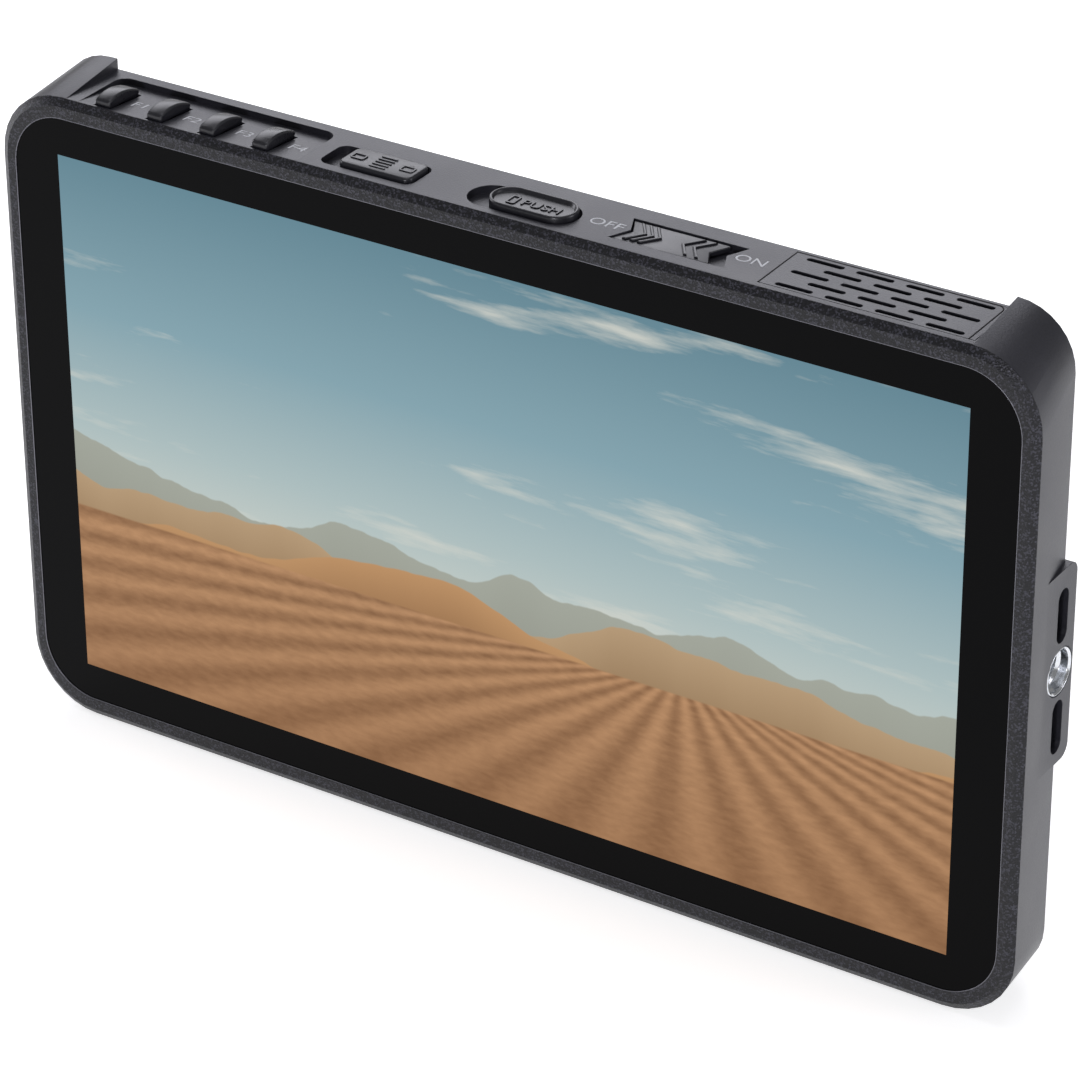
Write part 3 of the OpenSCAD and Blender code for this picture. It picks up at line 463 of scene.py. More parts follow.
# %% Finish of every CAD node
finish_of = {
    "front_frame": anodised, "cover_glass": glass_finish, "glass_adhesive": tape,
    "lcd_panel": nylon, "backlight_tray": steel, "rear_cover": moulded, "battery_plate": moulded,
    "battery_contacts": gold, "main_board": board, "processor_shield": tinned,
    "screen_cable": polyimide, "key_board": board, "key_switches": tinned,
    "function_switch": nylon, "release_link": steel, "battery_latch": steel, "power_board": board,
    "power_switch": nylon, "speaker_grille": grille_metal, "speaker": paper_cone,
    "hdmi_ports": tinned, "usb_port": tinned, "headphone_jack": nylon, "power_inlet": nylon,
    "cover_screws": black_steel, "board_screws": zinc, "key_board_screws": zinc,
    "plate_screws": black_steel,
}
shading = edge_shading_tree()
for name, finish in finish_of.items():
    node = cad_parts[name]
    node.data.materials.clear()
    node.data.materials.append(finish)
    node.modifiers.new("edge shading", "NODES").node_group = shading
print(len(finish_of), "CAD nodes finished")


# %% [markdown]
# The finger pieces in the deck are small mouldings with soft edges. Each is drawn as a loft: one
# outline, drawn in and raised step by step, so a rim, a dish or a soft edge is a few steps. A
# sculpt would be slower to change, and a bevelled box would have no rim.

# %% Outlines and lofts
def round_outline(w, h, r, inset=0.0, steps=8):
    w, h, r = w - 2 * inset, h - 2 * inset, max(r - inset, 0.05 * MM)
    points = []
    for cx, cy, start in ((1, 1, 0), (-1, 1, 90), (-1, -1, 180), (1, -1, 270)):
        for i in range(steps + 1):
            a = math.radians(start + 90 * i / steps)
            points.append((cx * (w / 2 - r) + r * math.cos(a), cy * (h / 2 - r) + r * math.sin(a)))
    return points


def loft(bm, centre, outline, levels):
    rings = []
    for inset, z in levels:
        rings.append([bm.verts.new((centre[0] + x, centre[1] + y, z)) for x, y in outline(inset)])
    for low, high in zip(rings, rings[1:]):
        for i in range(len(low)):
            j = (i + 1) % len(low)
            bm.faces.new((low[i], low[j], high[j], high[i]))
    bm.faces.new(list(reversed(rings[0])))
    bm.faces.new(rings[-1])


def block(bm, low, high):
    made = bmesh.ops.create_cube(bm, size=1.0)
    size = [h - l for l, h in zip(low, high)]
    middle = [(h + l) / 2 for l, h in zip(low, high)]
    placed = Matrix.Translation(middle) @ Matrix.Diagonal((*size, 1.0))
    bmesh.ops.transform(bm, verts=made["verts"], matrix=placed)


# %% [markdown]
# Every new piece is linked to the scene and rides on a body of the frame. A piece drawn in mesh code
# is first cleaned: doubles merged, faces turned out.

# %% Pieces that ride on a body
def riding_piece(name, mesh, body):
    piece = bpy.data.objects.new(name, mesh)
    bpy.context.scene.collection.objects.link(piece)
    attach(piece, body)
    return piece


def mesh_object(name, bm, finish, body, smooth_deg=35):
    bmesh.ops.remove_doubles(bm, verts=bm.verts, dist=0.0005 * MM)
    bmesh.ops.recalc_face_normals(bm, faces=bm.faces)
    mesh = bpy.data.meshes.new(name)
    bm.to_mesh(mesh)
    bm.free()
    mesh.materials.append(finish)
    mesh.shade_smooth()
    mesh.set_sharp_from_angle(angle=math.radians(smooth_deg))
    return riding_piece(name, mesh, body)


# %% [markdown]
# Two Geometry Nodes trees make what repeats and what follows a path. The first sets copies of one
# small piece in a row. The second runs a round bead along a line, as a turned edge or a wire does, or
# as a black line of painted shade in a gap. Both end as plain meshes with one material, and only the
# finished mesh is kept.

# %% Node trees for rows and beads
def tree_with_sizes(name, sizes):
    tree = bpy.data.node_groups.new(name, "GeometryNodeTree")
    tree.interface.new_socket("Geometry", in_out="INPUT", socket_type="NodeSocketGeometry")
    for label, kind in sizes:
        tree.interface.new_socket(label, in_out="INPUT", socket_type=kind)
    tree.interface.new_socket("Material", in_out="INPUT", socket_type="NodeSocketMaterial")
    tree.interface.new_socket("Geometry", in_out="OUTPUT", socket_type="NodeSocketGeometry")
    return tree, add(tree, "NodeGroupInput").outputs


def finish_tree(tree, shape, given):
    real = add(tree, "GeometryNodeRealizeInstances", {"Geometry": shape})
    painted = add(tree, "GeometryNodeSetMaterial", {"Geometry": real, "Material": given["Material"]})
    add(tree, "NodeGroupOutput", {0: painted})
    return tree


def row_tree():
    tree, given = tree_with_sizes("row of pieces", [
        ("Count", "NodeSocketInt"), ("Step", "NodeSocketVector")])
    places = add(tree, "GeometryNodeMeshLine", {"Count": given["Count"], "Offset": given["Step"]})
    copies = add(tree, "GeometryNodeInstanceOnPoints", {
        "Points": places, "Instance": given["Geometry"]})
    return finish_tree(tree, copies, given)


def bead_tree():
    tree, given = tree_with_sizes("bead along a line", [
        ("Radius", "NodeSocketFloat"), ("Sides", "NodeSocketInt")])
    line = add(tree, "GeometryNodeMeshToCurve", {"Mesh": given["Geometry"]})
    section = add(tree, "GeometryNodeCurvePrimitiveCircle", {
        "Resolution": given["Sides"], "Radius": given["Radius"]})
    tube = add(tree, "GeometryNodeCurveToMesh", {
        "Curve": line, "Profile Curve": section, "Fill Caps": True})
    return finish_tree(tree, tube, given)


def grow(name, tree, bm, sizes, finish, body):
    seed = bpy.data.meshes.new(name)
    bmesh.ops.recalc_face_normals(bm, faces=bm.faces)
    bm.to_mesh(seed)
    bm.free()
    source = bpy.data.objects.new(name, seed)
    bpy.context.scene.collection.objects.link(source)
    modifier = source.modifiers.new(name, "NODES")
    modifier.node_group = tree
    inputs = [item for item in tree.interface.items_tree if item.in_out == "INPUT"]
    keys = {item.name: item.identifier for item in inputs}
    for label, value in {**sizes, "Material": finish}.items():
        modifier[keys[label]] = value
    grown = source.evaluated_get(bpy.context.evaluated_depsgraph_get())
    mesh = bpy.data.meshes.new_from_object(grown)
    bpy.data.objects.remove(source)
    print(name, len(mesh.polygons), "faces")
    return riding_piece(name, mesh, body)


row, bead = row_tree(), bead_tree()
bead_sides = 8


# %% [markdown]
# Two beads that the photo shows as lines: the bare edge that the cutter leaves round the glass, which
# is light, and the gap round the grille, which is dark. The dark one is painted shade: a black bead
# where the gap holds only shadow. The gap's rear right corner is round, and its right side stands a
# little off the wall of the body's right ear. A bead has real faces, so both lines keep their width
# from every side.

# %% Edge round the glass
def line_mesh(points, closed):
    bm = bmesh.new()
    verts = [bm.verts.new(point) for point in points]
    for a, b in zip(verts, verts[1:] + verts[:1] if closed else verts[1:]):
        bm.edges.new((a, b))
    return bm


glass_size = glass_high - glass_low
edge_gap, edge_turn, edge_y = 0.1 * MM, 9.2 * MM, front_y + 0.12 * MM
edge_outline = round_outline(glass_size.x + edge_gap, glass_size.z + edge_gap, edge_turn, 0, 16)
edge_line = [(x, edge_y, screen_centre.z + z) for x, z in edge_outline]
edge_sizes = {"Radius": 0.1 * MM, "Sides": bead_sides}
grow("glass_edge", bead, line_mesh(edge_line, True), edge_sizes, turned_edge, "monitor")

# %% Gap round the grille, a bead of painted shade
grille_low, grille_high = corners("speaker_grille")
gap_turn, gap_off_ear, gap_z = 1.3 * MM, 0.9 * MM, deck_z - 0.06 * MM
gap_corner = (grille_high.x - gap_off_ear - gap_turn, grille_high.y - gap_turn)
gap_steps = 8
gap_line = [(grille_low.x, grille_low.y, gap_z), (grille_low.x, grille_high.y, gap_z)]
for i in range(gap_steps + 1):
    a = math.radians(90 - 90 * i / gap_steps)
    gap_line.append((gap_corner[0] + gap_turn * math.cos(a), gap_corner[1] + gap_turn * math.sin(a),
                     gap_z))
gap_line.append((grille_high.x - gap_off_ear, grille_low.y, gap_z))
gap_sizes = {"Radius": 0.14 * MM, "Sides": bead_sides}
grow("grille_gap", bead, line_mesh(gap_line, False), gap_sizes, shadow_gap, "monitor")


# %% [markdown]
# The keys lie in a scoop of the deck. Its floor is level with the deck at the front and falls to
# the back, so the front edge runs on unbroken. A thin plate gives that floor, with one hole for
# each key. Booleans could cut the holes, but they leave uneven faces. The plate is a grid of cells
# seen from above instead, with the cells of the holes left out.

# %% Places of the scoop and its keys
key_boxes = [corners(f"f{n}_key") for n in range(1, 5)]
key_w, key_front, key_back = 2.75 * MM, front_y + 1.4 * MM, front_y + 8.75 * MM
scoop_x0, scoop_x1 = key_boxes[0][0].x - 2.7 * MM, key_boxes[3][1].x + 4.8 * MM
scoop_depth = 1.0 * MM
scoop_fall = scoop_depth - 0.03 * MM
floor_z = deck_z - scoop_depth
crease_y, scoop_y1 = front_y + 1.2 * MM, front_y + 11.65 * MM
lip_y, lip_z, bevel_y = front_y + 0.14 * MM, floor_z + 0.02 * MM, front_y + 0.8 * MM


def scoop_z(y):
    if y <= lip_y:
        return lip_z
    if y <= crease_y:
        return deck_z
    return deck_z - (y - crease_y) / (scoop_y1 - crease_y) * scoop_fall


print(f"scoop {(scoop_x1 - scoop_x0) / MM:.1f} mm long, {scoop_depth / MM:.1f} mm deep")


# %% [markdown]
# Walls are drawn wherever a filled cell meets an empty one, so the plate is a closed mesh. Cells
# are counted from the left by i and from the front by j. In the row of keys every second cell is
# a hole.

# %% Floor of the scoop
def scoop_plate(gap=0.18 * MM, thin=0.004 * MM):
    xs = [scoop_x0]
    for low, _ in key_boxes:
        xs += [low.x - gap, low.x + key_w + gap]
    xs.append(scoop_x1)
    ys = [lip_y, bevel_y, crease_y, key_front - gap, key_back + gap, scoop_y1]
    hole_row = ys.index(key_front - gap)
    filled = {(i, j) for i in range(len(xs) - 1) for j in range(len(ys) - 1)
              if not (i % 2 == 1 and j == hole_row)}
    bm = bmesh.new()
    top = {(i, j): bm.verts.new((x, y, scoop_z(y)))
           for i, x in enumerate(xs) for j, y in enumerate(ys)}
    under = {(i, j): bm.verts.new((x, y, floor_z + thin))
             for i, x in enumerate(xs) for j, y in enumerate(ys)}
    for i, j in filled:
        ring = [(i, j), (i + 1, j), (i + 1, j + 1), (i, j + 1)]
        beside = [(i, j - 1), (i + 1, j), (i, j + 1), (i - 1, j)]
        bm.faces.new([top[c] for c in ring])
        bm.faces.new([under[c] for c in reversed(ring)])
        for a, b, cell in zip(ring, ring[1:] + ring[:1], beside):
            if cell not in filled:
                bm.faces.new((under[a], under[b], top[b], top[a]))
    return mesh_object("scoop_floor", bm, anodised, "monitor", smooth_deg=20)


scoop = scoop_plate()
print("scoop floor", len(scoop.data.polygons), "faces")


# %% [markdown]
# Each key is an arched bar with blunt ends. Its side view is drawn first, following the sloping
# floor, and drawn out to the key's width. Its underside keeps clear of the body by its travel. A
# bevel softens every edge, as the mould's own radius would. A loft would need a new outline at
# each height, while the side view of an arch is a single curve.

# %% Function keys
key_travel = 0.6 * MM
key_under = floor_z + key_travel + 0.02 * MM
stem_left, stem_right, stem_front, stem_back = 1.0 * MM, 0.9 * MM, 3.7 * MM, 0.3 * MM


def key_profile(end_rise=1.0 * MM, arch_rise=0.85 * MM, steps=18):
    points = [(key_back, key_under), (key_front, key_under)]
    for i in range(steps + 1):
        t = i / steps
        y = key_front + t * (key_back - key_front)
        points.append((y, scoop_z(y) + end_rise + arch_rise * (1 - (2 * t - 1) ** 2)))
    return points


def function_key(number, fold_deg=35, edge_round=0.34 * MM):
    low, high = key_boxes[number - 1]
    bm = bmesh.new()
    face = bm.faces.new([bm.verts.new((low.x, y, z)) for y, z in key_profile()])
    grown = bmesh.ops.extrude_face_region(bm, geom=[face])
    moved = [v for v in grown["geom"] if isinstance(v, bmesh.types.BMVert)]
    bmesh.ops.translate(bm, verts=moved, vec=(key_w, 0, 0))
    bmesh.ops.recalc_face_normals(bm, faces=bm.faces)
    closed = [e for e in bm.edges if len(e.link_faces) == 2]
    folds = [e for e in closed if e.calc_face_angle() > math.radians(fold_deg)]
    bmesh.ops.bevel(bm, geom=folds, offset=edge_round, segments=3, profile=0.5, affect="EDGES",
                    clamp_overlap=True)
    middle = low.x + key_w / 2
    block(bm, (middle - stem_left, high.y - stem_front, low.z),
          (middle + stem_right, high.y - stem_back, key_under + 0.1 * MM))
    piece = mesh_object(f"f{number}_cap", bm, soft_key, f"f{number}_key_body")
    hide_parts(f"f{number}_key")
    return piece


for number in range(1, 5):
    key = function_key(number)
    print(key.name, len(key.data.polygons), "faces")


# %% [markdown]
# Lettering is raised in the mould or printed. Blender's own font is turned into a mesh first,
# scaled so its capitals have the height wanted, and only then put in its place. A real thickness,
# even for ink, keeps it from flickering against the face below.

# %% Lettering helper
def letters(text, cap_mm, centre, z, rise_mm, finish, body, name, tilt=0.0, widen=1.12):
    curve = bpy.data.curves.new(name, "FONT")
    curve.body = text
    curve.align_x, curve.align_y = "CENTER", "CENTER"
    curve.extrude = 0.5
    curve.resolution_u = 3
    source = bpy.data.objects.new(name, curve)
    bpy.context.scene.collection.objects.link(source)
    drawn = source.evaluated_get(bpy.context.evaluated_depsgraph_get())
    mesh = bpy.data.meshes.new_from_object(drawn)
    bpy.data.objects.remove(source)
    heights = [v.co.y for v in mesh.vertices]
    middle = (max(heights) + min(heights)) / 2
    factor = cap_mm * MM / (max(heights) - min(heights))
    for v in mesh.vertices:
        along, up, out = v.co.x * factor * widen, (v.co.y - middle) * factor, v.co.z + 0.5
        v.co = Vector((centre[0] + along, centre[1] + up, z + out * rise_mm * MM + up * tilt))
    mesh.materials.clear()
    mesh.materials.append(finish)
    return riding_piece(name, mesh, body)


# Flat light grey that stays readable on black, with no shine of its own.
ink = grained("pad-printed grey ink", "#CFD1D5", "#DADCE0", 0.0, 0.6, 0.4, 0.002)


# %% [markdown]
# Each key's name is printed beside it on the sloping floor, and OFF and ON on the level deck.
# The tilt lays the four key names on the slope.

# %% Printed legends
scoop_slope = -scoop_fall / (scoop_y1 - crease_y)
legend_right, legend_y, ink_mm = 2.75 * MM, front_y + 5.3 * MM, 0.02
for number, (low, _) in enumerate(key_boxes, start=1):
    place = (low.x + key_w + legend_right, legend_y)
    letters(f"F{number}", 1.9, place, scoop_z(legend_y), ink_mm, ink, "monitor",
            f"legend_f{number}", scoop_slope)
for word, x, y in (("OFF", 15.4, 6.7), ("ON", 38.4, 7.2)):
    letters(word, 2.0, (x * MM, front_y + y * MM), deck_z, ink_mm, ink, "monitor",
            "legend_" + word.lower())
print("legends printed")


# %% [markdown]
# The battery release is an oval button with a raised rim round a dished face, so a fingertip
# finds it without looking. A loft takes the rim and the dish as steps of one outline. Its foot
# reaches down to the link that it moves.

# %% Battery release slider
sunk = 0.9 * MM
foot_x, foot_y, foot_overlap = 3 * MM, 1.2 * MM, 0.1 * MM
dish_steps = [(0, 0.4), (0.05, 0.16), (0.15, 0.04), (0.28, 0.0), (0.42, 0.03), (0.55, 0.16),
              (0.62, 0.4), (0.74, 0.52), (1.1, 0.58), (1.7, 0.6), (2.5, 0.61)]


def oval_slider(slim=0.12, dish_mm=0.6):
    low, high = corners("release_slider")
    centre = plan_centre(low, high)
    w, h = high.x - low.x, high.y - low.y
    under = deck_z - sunk
    levels = [(slim * MM, under)]
    levels += [((slim + inset) * MM, high.z - down * MM) for inset, down in dish_steps]
    bm = bmesh.new()
    loft(bm, centre, lambda inset: round_outline(w, h, h / 2 - 0.01 * MM, inset, 14), levels)
    block(bm, (centre[0] - foot_x, centre[1] - foot_y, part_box("release_link")[1][2]),
          (centre[0] + foot_x, centre[1] + foot_y, under + foot_overlap))
    piece = mesh_object("release_button", bm, soft_key, "release_body")
    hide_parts("release_slider")
    return centre, high.z - dish_mm * MM


release_centre, face_z = oval_slider()
print("release slider made")


# %% [markdown]
# Its face carries the word PUSH and a small battery sign, both raised in the mould. A sign is a
# rounded frame, made of two outlines at two heights. A nub at its rear side can mark a terminal.

# %% Signs on the release slider
mould_sink = 0.05 * MM
letters("PUSH", 1.7, (release_centre[0] + 1.3 * MM, release_centre[1]), face_z - mould_sink, 0.2,
        soft_key, "release_body", "release_word")


def frame_sign(name, centre, w, h, line, z, rise, body, nub=True):
    bm = bmesh.new()
    rings = []
    for level in (z, z + rise):
        for inset in (0, line):
            outline = round_outline(w, h, 0.35 * MM, inset, 4)
            rings.append([bm.verts.new((centre[0] + x, centre[1] + y, level)) for x, y in outline])
    outer_low, inner_low, outer_top, inner_top = rings
    for i in range(len(outer_low)):
        j = (i + 1) % len(outer_low)
        bm.faces.new((outer_top[i], outer_top[j], inner_top[j], inner_top[i]))
        bm.faces.new((outer_low[i], outer_top[i], outer_top[j], outer_low[j]))
        bm.faces.new((inner_low[i], inner_low[j], inner_top[j], inner_top[i]))
        bm.faces.new((outer_low[i], outer_low[j], inner_low[j], inner_low[i]))
    if nub:
        rear = centre[1] + h / 2
        block(bm, (centre[0] - 0.3 * MM, rear - 0.02 * MM, z),
              (centre[0] + 0.3 * MM, rear + 0.3 * MM, z + rise))
    return mesh_object(name, bm, soft_key, body)


frame_sign("release_sign", (release_centre[0] - 3.4 * MM, release_centre[1]), 1.5 * MM, 2.5 * MM,
           0.3 * MM, face_z - mould_sink, 0.2 * MM, "release_body")
print("release signs made")


# %% [markdown]
# The function slider is a flat rounded bar. Plain raised marks tell its two positions apart: a
# small frame at the left end, a frame with a nub at the right end, and grip bars between them.
# The bar is a loft, and one grip bar is lofted and repeated by the row tree.

# %% Function slider
bar_steps = ((0.2, 1.5), (0.2, 0.4), (0.26, 0.2), (0.4, 0.05), (0.6, 0))
bar_turn, bar_foot_down = 1.4 * MM, 1.4 * MM


def flat_slider():
    low, high = corners("function_slider")
    centre = plan_centre(low, high)
    w, h = high.x - low.x, high.y - low.y
    levels = [(inset * MM, high.z - down * MM) for inset, down in bar_steps]
    bm = bmesh.new()
    loft(bm, centre, lambda inset: round_outline(w, h, bar_turn, inset, 10), levels)
    block(bm, (centre[0] - foot_x, centre[1] - foot_y, low.z),
          (centre[0] + foot_x, centre[1] + foot_y, high.z - bar_foot_down))
    piece = mesh_object("function_button", bm, soft_key, "function_body")
    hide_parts("function_slider")
    return centre, high.z


function_centre, function_top = flat_slider()
print("function slider made")


# %% [markdown]
# The marks start a little below the bar's face, so that no gap shows at their foot.

# %% Marks on the function slider
mark_z, mark_rise = function_top - 0.02 * MM, 0.16 * MM
grip_count, grip_step, grip_w, grip_h = 5, 0.85 * MM, 2.8 * MM, 0.36 * MM
grip_levels = [(0, mark_z), (0, mark_z + mark_rise * 0.6), (0.05 * MM, mark_z + mark_rise)]
first_grip = (function_centre[0], function_centre[1] - grip_step * (grip_count - 1) / 2)
grip = bmesh.new()
loft(grip, first_grip, lambda inset: round_outline(grip_w, grip_h, grip_h / 2 - 0.01 * MM, inset, 4),
     grip_levels)
grow("function_bars", row, grip, {"Count": grip_count, "Step": (0, grip_step, 0)}, soft_key,
     "function_body")
for name, way, nub in (("function_screen_sign", -1, False), ("function_lens_sign", 1, True)):
    frame_sign(name, (function_centre[0] + way * 4.2 * MM, function_centre[1]), 2.3 * MM, 1.7 * MM,
               0.28 * MM, mark_z, mark_rise, "function_body", nub)
print("function marks made")


# %% [markdown]
# The power switch has swallow-tailed ends and a row of V-shaped ridges at each end, three at the
# left and two at the right. Its outline has six points, and a loft raises it with a soft edge.
# One ridge of each row is lofted, and the row tree repeats it.

# %% Outlines of the power slider
def tail_outline(w, h, notch, inset):
    x, y = w / 2 - inset, h / 2 - inset
    return [(-x, -y), (x, -y), (x - notch, 0), (x, y), (-x, y), (-x + notch, 0)]


def vee_outline(bow, half, thick, inset):
    wide, end = thick - 2 * inset, half - inset
    return [(inset, -end), (inset + wide, -end), (bow + inset + wide, 0), (inset + wide, end),
            (inset, end), (bow + inset, 0)]


# %% Power slider
tail_notch, power_foot_x = 1.6 * MM, 2.2 * MM
ridge_stand = 0.42 * MM


def power_slider():
    low, high = corners("power_slider")
    centre = plan_centre(low, high)
    w, h = high.x - low.x, high.y - low.y
    under, top = deck_z - sunk, high.z - ridge_stand
    levels = [(0, under), (0, top - 0.15 * MM), (0.05 * MM, top - 0.04 * MM), (0.16 * MM, top)]
    bm = bmesh.new()
    loft(bm, centre, lambda inset: tail_outline(w, h, tail_notch, inset), levels)
    block(bm, (centre[0] - power_foot_x, centre[1] - foot_y, low.z),
          (centre[0] + power_foot_x, centre[1] + foot_y, under + foot_overlap))
    piece = mesh_object("power_button", bm, soft_key, "power_body",
                        smooth_deg=50)
    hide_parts("power_slider")
    return centre, w, top


power_centre, power_w, power_top = power_slider()
print("power slider made")


# %% [markdown]
# The ridges at the left point right and those at the right point left, towards each other. Each
# row starts at its own end, so one sign turns both the outline and the step.

# %% Ridges of the power slider
vee_bow, vee_half, vee_thick = 1.9 * MM, 2.75 * MM, 0.6 * MM
vee_levels = [(0, power_top - 0.1 * MM), (0.02 * MM, power_top + 0.18 * MM),
              (0.14 * MM, power_top + 0.27 * MM)]
for side, way, count, first_mm, step_mm in (("left", 1, 3, 1.5, 1.2), ("right", -1, 2, 1.9, 1.8)):
    start = (power_centre[0] - way * (power_w / 2 - first_mm * MM), power_centre[1])
    vee = bmesh.new()
    loft(vee, start, lambda inset: [
        (way * x, way * y) for x, y in vee_outline(vee_bow, vee_half, vee_thick, inset)], vee_levels)
    grow(f"power_ridges_{side}", row, vee, {"Count": count, "Step": (way * step_mm * MM, 0, 0)},
         soft_key, "power_body")


# %% [markdown]
# A coil spring of steel wire pushes the release link back to the right. Its left end rests on the
# body and its right end on the link. On the real monitor it shortens by the slider's travel; here it
# is drawn at one length and rides on the body. The bead tree runs the wire along a helix, because a
# swept circle keeps the wire round all the way.

# %% Latch spring
spring_low, spring_high = corners("latch_spring")
wire, turns, per_turn, release_travel = 0.18 * MM, 7, 20, 3.2 * MM
coil = (spring_high.z - spring_low.z) / 2 - wire
spring_mid = (spring_low + spring_high) / 2
first_x, last_x = spring_low.x + wire, spring_high.x - wire
helix = []
for i in range(turns * per_turn + 1):
    a = 2 * math.pi * i / per_turn
    x = first_x + (last_x - first_x) * i / (turns * per_turn)
    helix.append((x, spring_mid.y + coil * math.cos(a), spring_mid.z + coil * math.sin(a)))
spring = grow("release_spring", bead, line_mesh(helix, False), {"Radius": wire, "Sides": bead_sides},
              steel, "monitor")
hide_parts("latch_spring")
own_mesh(spring)


# %% [markdown]
# The tripod sockets are plated inserts with a real 1/4 inch thread. The thread is a V that
# climbs 1.27 mm a turn. Geometry Nodes could sweep it, but a short loop over angle and profile
# gives clean quads, and both sockets share it.

# %% Shell and thread of an insert
insert_length, thread_pitch, around = 7.0 * MM, 1.27 * MM, 40
insert_r, crest_r, root_r = 3.8 * MM, 2.75 * MM, 3.17 * MM


def insert_shell(bm):
    end, bore = insert_length / 2, root_r + 0.05 * MM
    section = [(bore, -end), (insert_r, -end), (insert_r, end - 0.25 * MM),
               (insert_r - 0.25 * MM, end), (root_r + 0.35 * MM, end), (bore, end - 0.3 * MM)]
    rings = []
    for i in range(around):
        a = 2 * math.pi * i / around
        rings.append([bm.verts.new((r * math.cos(a), r * math.sin(a), z)) for r, z in section])
    for ring, following in zip(rings, rings[1:] + rings[:1]):
        for k in range(len(section)):
            m = (k + 1) % len(section)
            bm.faces.new((ring[k], following[k], following[m], ring[m]))


def insert_thread(bm):
    turns = int((insert_length - 0.8 * MM) / thread_pitch)
    foot_r = root_r + 0.1 * MM
    section = [(foot_r, 0), (crest_r, 0.42 * thread_pitch), (crest_r, 0.58 * thread_pitch),
               (foot_r, thread_pitch * 0.96)]
    strip = []
    for i in range(turns * around + 1):
        a = 2 * math.pi * i / around
        z0 = -insert_length / 2 + 0.2 * MM + thread_pitch * i / around
        strip.append([bm.verts.new((r * math.cos(a), r * math.sin(a), z0 + z)) for r, z in section])
    for ring, following in zip(strip, strip[1:]):
        for k in range(len(section)):
            m = (k + 1) % len(section)
            bm.faces.new((ring[k], following[k], following[m], ring[m]))
    bm.faces.new(list(reversed(strip[0])))
    bm.faces.new(strip[-1])


# %% Threaded inserts
def threaded_insert(node, outward, name):
    low, high = corners(node)
    bm = bmesh.new()
    insert_shell(bm)
    insert_thread(bm)
    turned = Vector((0, 0, 1)).rotation_difference(Vector(outward)).to_matrix().to_4x4()
    placed = Matrix.Translation((low + high) / 2) @ turned
    bmesh.ops.transform(bm, verts=bm.verts, matrix=placed)
    piece = mesh_object(name, bm, bright, "monitor")
    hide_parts(node)
    return piece


for node, outward in (("side_socket", (1, 0, 0)), ("bottom_socket", (0, 0, -1))):
    insert = threaded_insert(node, outward, node + "_thread")
    print(insert.name, len(insert.data.polygons), "faces")


# %% [markdown]
# The photo was taken from above and from the right of the screen, far off with a long lens.
# Azimuth, elevation, distance and lens were solved from the screen's corners and body's edges.
# The camera is placed by those angles and not by a target, so each value can be checked alone.

# %% Camera
azimuth_deg, elevation_deg, roll_deg = 32.6, 29.32, -0.3
distance_mm, right_mm, up_mm = 694.6, 7.0, 1.02
lens_mm, sensor_mm = 159.14, 36.0


def photo_camera():
    azimuth, elevation, roll = (math.radians(v) for v in (azimuth_deg, elevation_deg, roll_deg))
    back = Vector((math.sin(azimuth) * math.cos(elevation), -math.cos(azimuth) * math.cos(elevation),
                   math.sin(elevation)))
    level = Vector((math.cos(azimuth), math.sin(azimuth), 0))
    upright = back.cross(level)
    right = level * math.cos(roll) + upright * math.sin(roll)
    up = upright * math.cos(roll) - level * math.sin(roll)
    place = screen_centre + (right * right_mm + up * up_mm + back * distance_mm) * MM
    data = bpy.data.cameras.new("photo camera")
    data.lens, data.sensor_width, data.sensor_height = lens_mm, sensor_mm, sensor_mm
    data.sensor_fit = "AUTO"
    data.clip_start, data.clip_end = 0.01, 20.0
    camera = bpy.data.objects.new("photo camera", data)
    camera.matrix_world = Matrix.Translation(place) @ Matrix((right, up, back)).transposed().to_4x4()
    bpy.context.scene.collection.objects.link(camera)
    bpy.context.scene.camera = camera
    return camera


camera = photo_camera()
print("camera at", [round(v, 3) for v in camera.matrix_world.translation])


# %% [markdown]
# A studio set: a white paper floor, a white surround and five soft lamps. The floor glows a little
# for the camera and for gloss, so that it reads as white and still keeps the monitor's shadow.

# %% Floor
def studio_floor(half=3.0, glow=0.65):
    mesh = bpy.data.meshes.new("studio_floor")
    points = [(-half, -half, 0), (half, -half, 0), (half, half, 0), (-half, half, 0)]
    mesh.from_pydata(points, [], [(0, 1, 2, 3)])
    # Matt paper: pale and even, with no highlight, so that only the shadow marks it.
    material, tree, shader = new_material(
        "matt white paper", Base_Color=srgb("#F4F4F4"), Roughness=0.9)
    path = add(tree, "ShaderNodeLightPath").outputs
    light = add(tree, "ShaderNodeEmission", {"Color": srgb("#FFFFFF"), "Strength": glow})
    both = add(tree, "ShaderNodeAddShader", {0: shader, 1: light})
    seen = add(tree, "ShaderNodeMath", {
        0: path["Is Camera Ray"], 1: path["Is Glossy Ray"]}, operation="MAXIMUM")
    mixed = add(tree, "ShaderNodeMixShader", {0: seen, 1: shader, 2: both})
    tree.links.new(mixed.outputs[0], tree.nodes["Material Output"].inputs["Surface"])
    mesh.materials.append(material)
    floor = bpy.data.objects.new("studio_floor", mesh)
    bpy.context.scene.collection.objects.link(floor)


studio_floor()
print("floor laid")


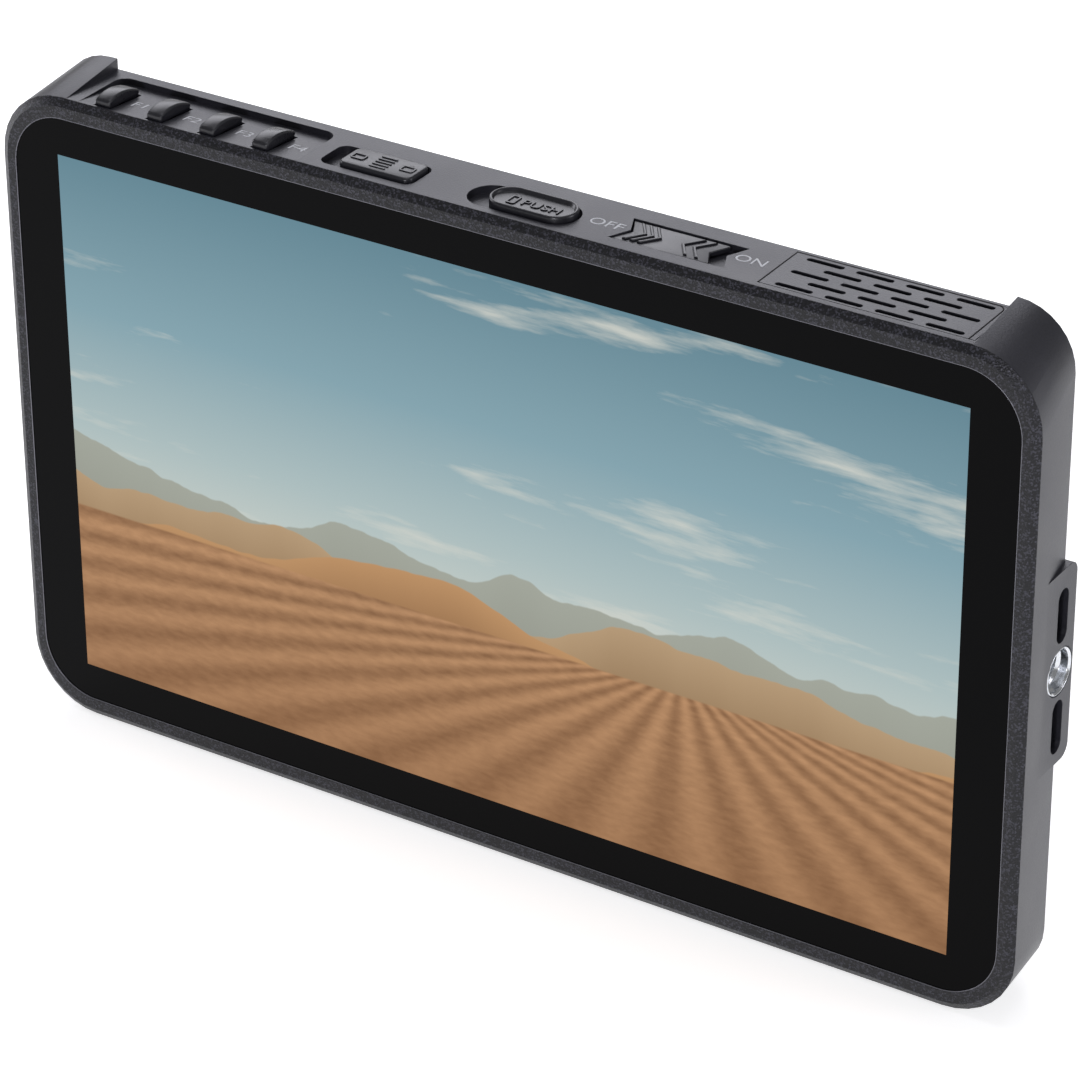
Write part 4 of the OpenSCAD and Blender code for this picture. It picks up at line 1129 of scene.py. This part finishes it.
# %% [markdown]
# The surround is full white to the camera. As light, and in reflections, it is about a quarter of
# that, which keeps the black metal and glass black.

# %% Surround
def surround(light=0.24, background=1.0):
    world = bpy.data.worlds.new("studio surround")
    bpy.context.scene.world = world
    world.use_nodes = True
    tree = world.node_tree
    path = add(tree, "ShaderNodeLightPath").outputs
    direct = add(tree, "ShaderNodeMath", {
        0: path["Is Camera Ray"], 1: path["Is Transmission Ray"]}, operation="MAXIMUM")
    strength = add(tree, "ShaderNodeMapRange", {
        "Value": direct, "To Min": light, "To Max": background})
    tree.links.new(strength.outputs["Result"], tree.nodes["Background"].inputs["Strength"])
    tree.nodes["Background"].inputs["Color"].default_value = srgb("#FFFFFF")


surround()
print("surround lit")


# %% [markdown]
# The panel behind at the left gives the deck its pale sheen, and the one overhead fills it. The
# lamps at the left and the right light the two side walls. A small lamp in front on the right puts
# light on the rim. Area lamps were chosen because a large source gives soft shadows.

# %% Lamps
cool_white = (0.93, 0.93, 1.0)


def soft_lamp(name, place, target, size, watts):
    data = bpy.data.lights.new(name, "AREA")
    data.shape, data.size, data.size_y, data.energy = "RECTANGLE", size[0], size[1], watts
    data.color = cool_white
    lamp = bpy.data.objects.new(name, data)
    lamp.location = place
    lamp.rotation_euler = (Vector(target) - Vector(place)).to_track_quat("-Z", "Y").to_euler()
    bpy.context.scene.collection.objects.link(lamp)


aim = (0, 0, 0.05)
lamps = [("back left panel", (-0.47, 0.74, 0.55), aim, (0.75, 0.55), 3.6),
         ("overhead", (0.0, 0.1, 1.0), aim, (0.6, 0.5), 1.6),
         ("left edge", (-0.95, 0.05, 0.3), aim, (0.3, 0.6), 2.6),
         ("right side", (0.95, 0.3, 0.25), (0.05, 0, 0.05), (0.35, 0.5), 2.4),
         ("front right", (0.34, -1.0, 0.36), (0.08, 0, 0.09), (0.07, 0.07), 3.0)]
for name, place, target, size, watts in lamps:
    soft_lamp(name, place, target, size, watts)
print(len(lamps), "lamps set")


# %% [markdown]
# The Standard view shows each colour as it is written.

# %% View transform
bpy.context.scene.view_settings.view_transform = "Standard"
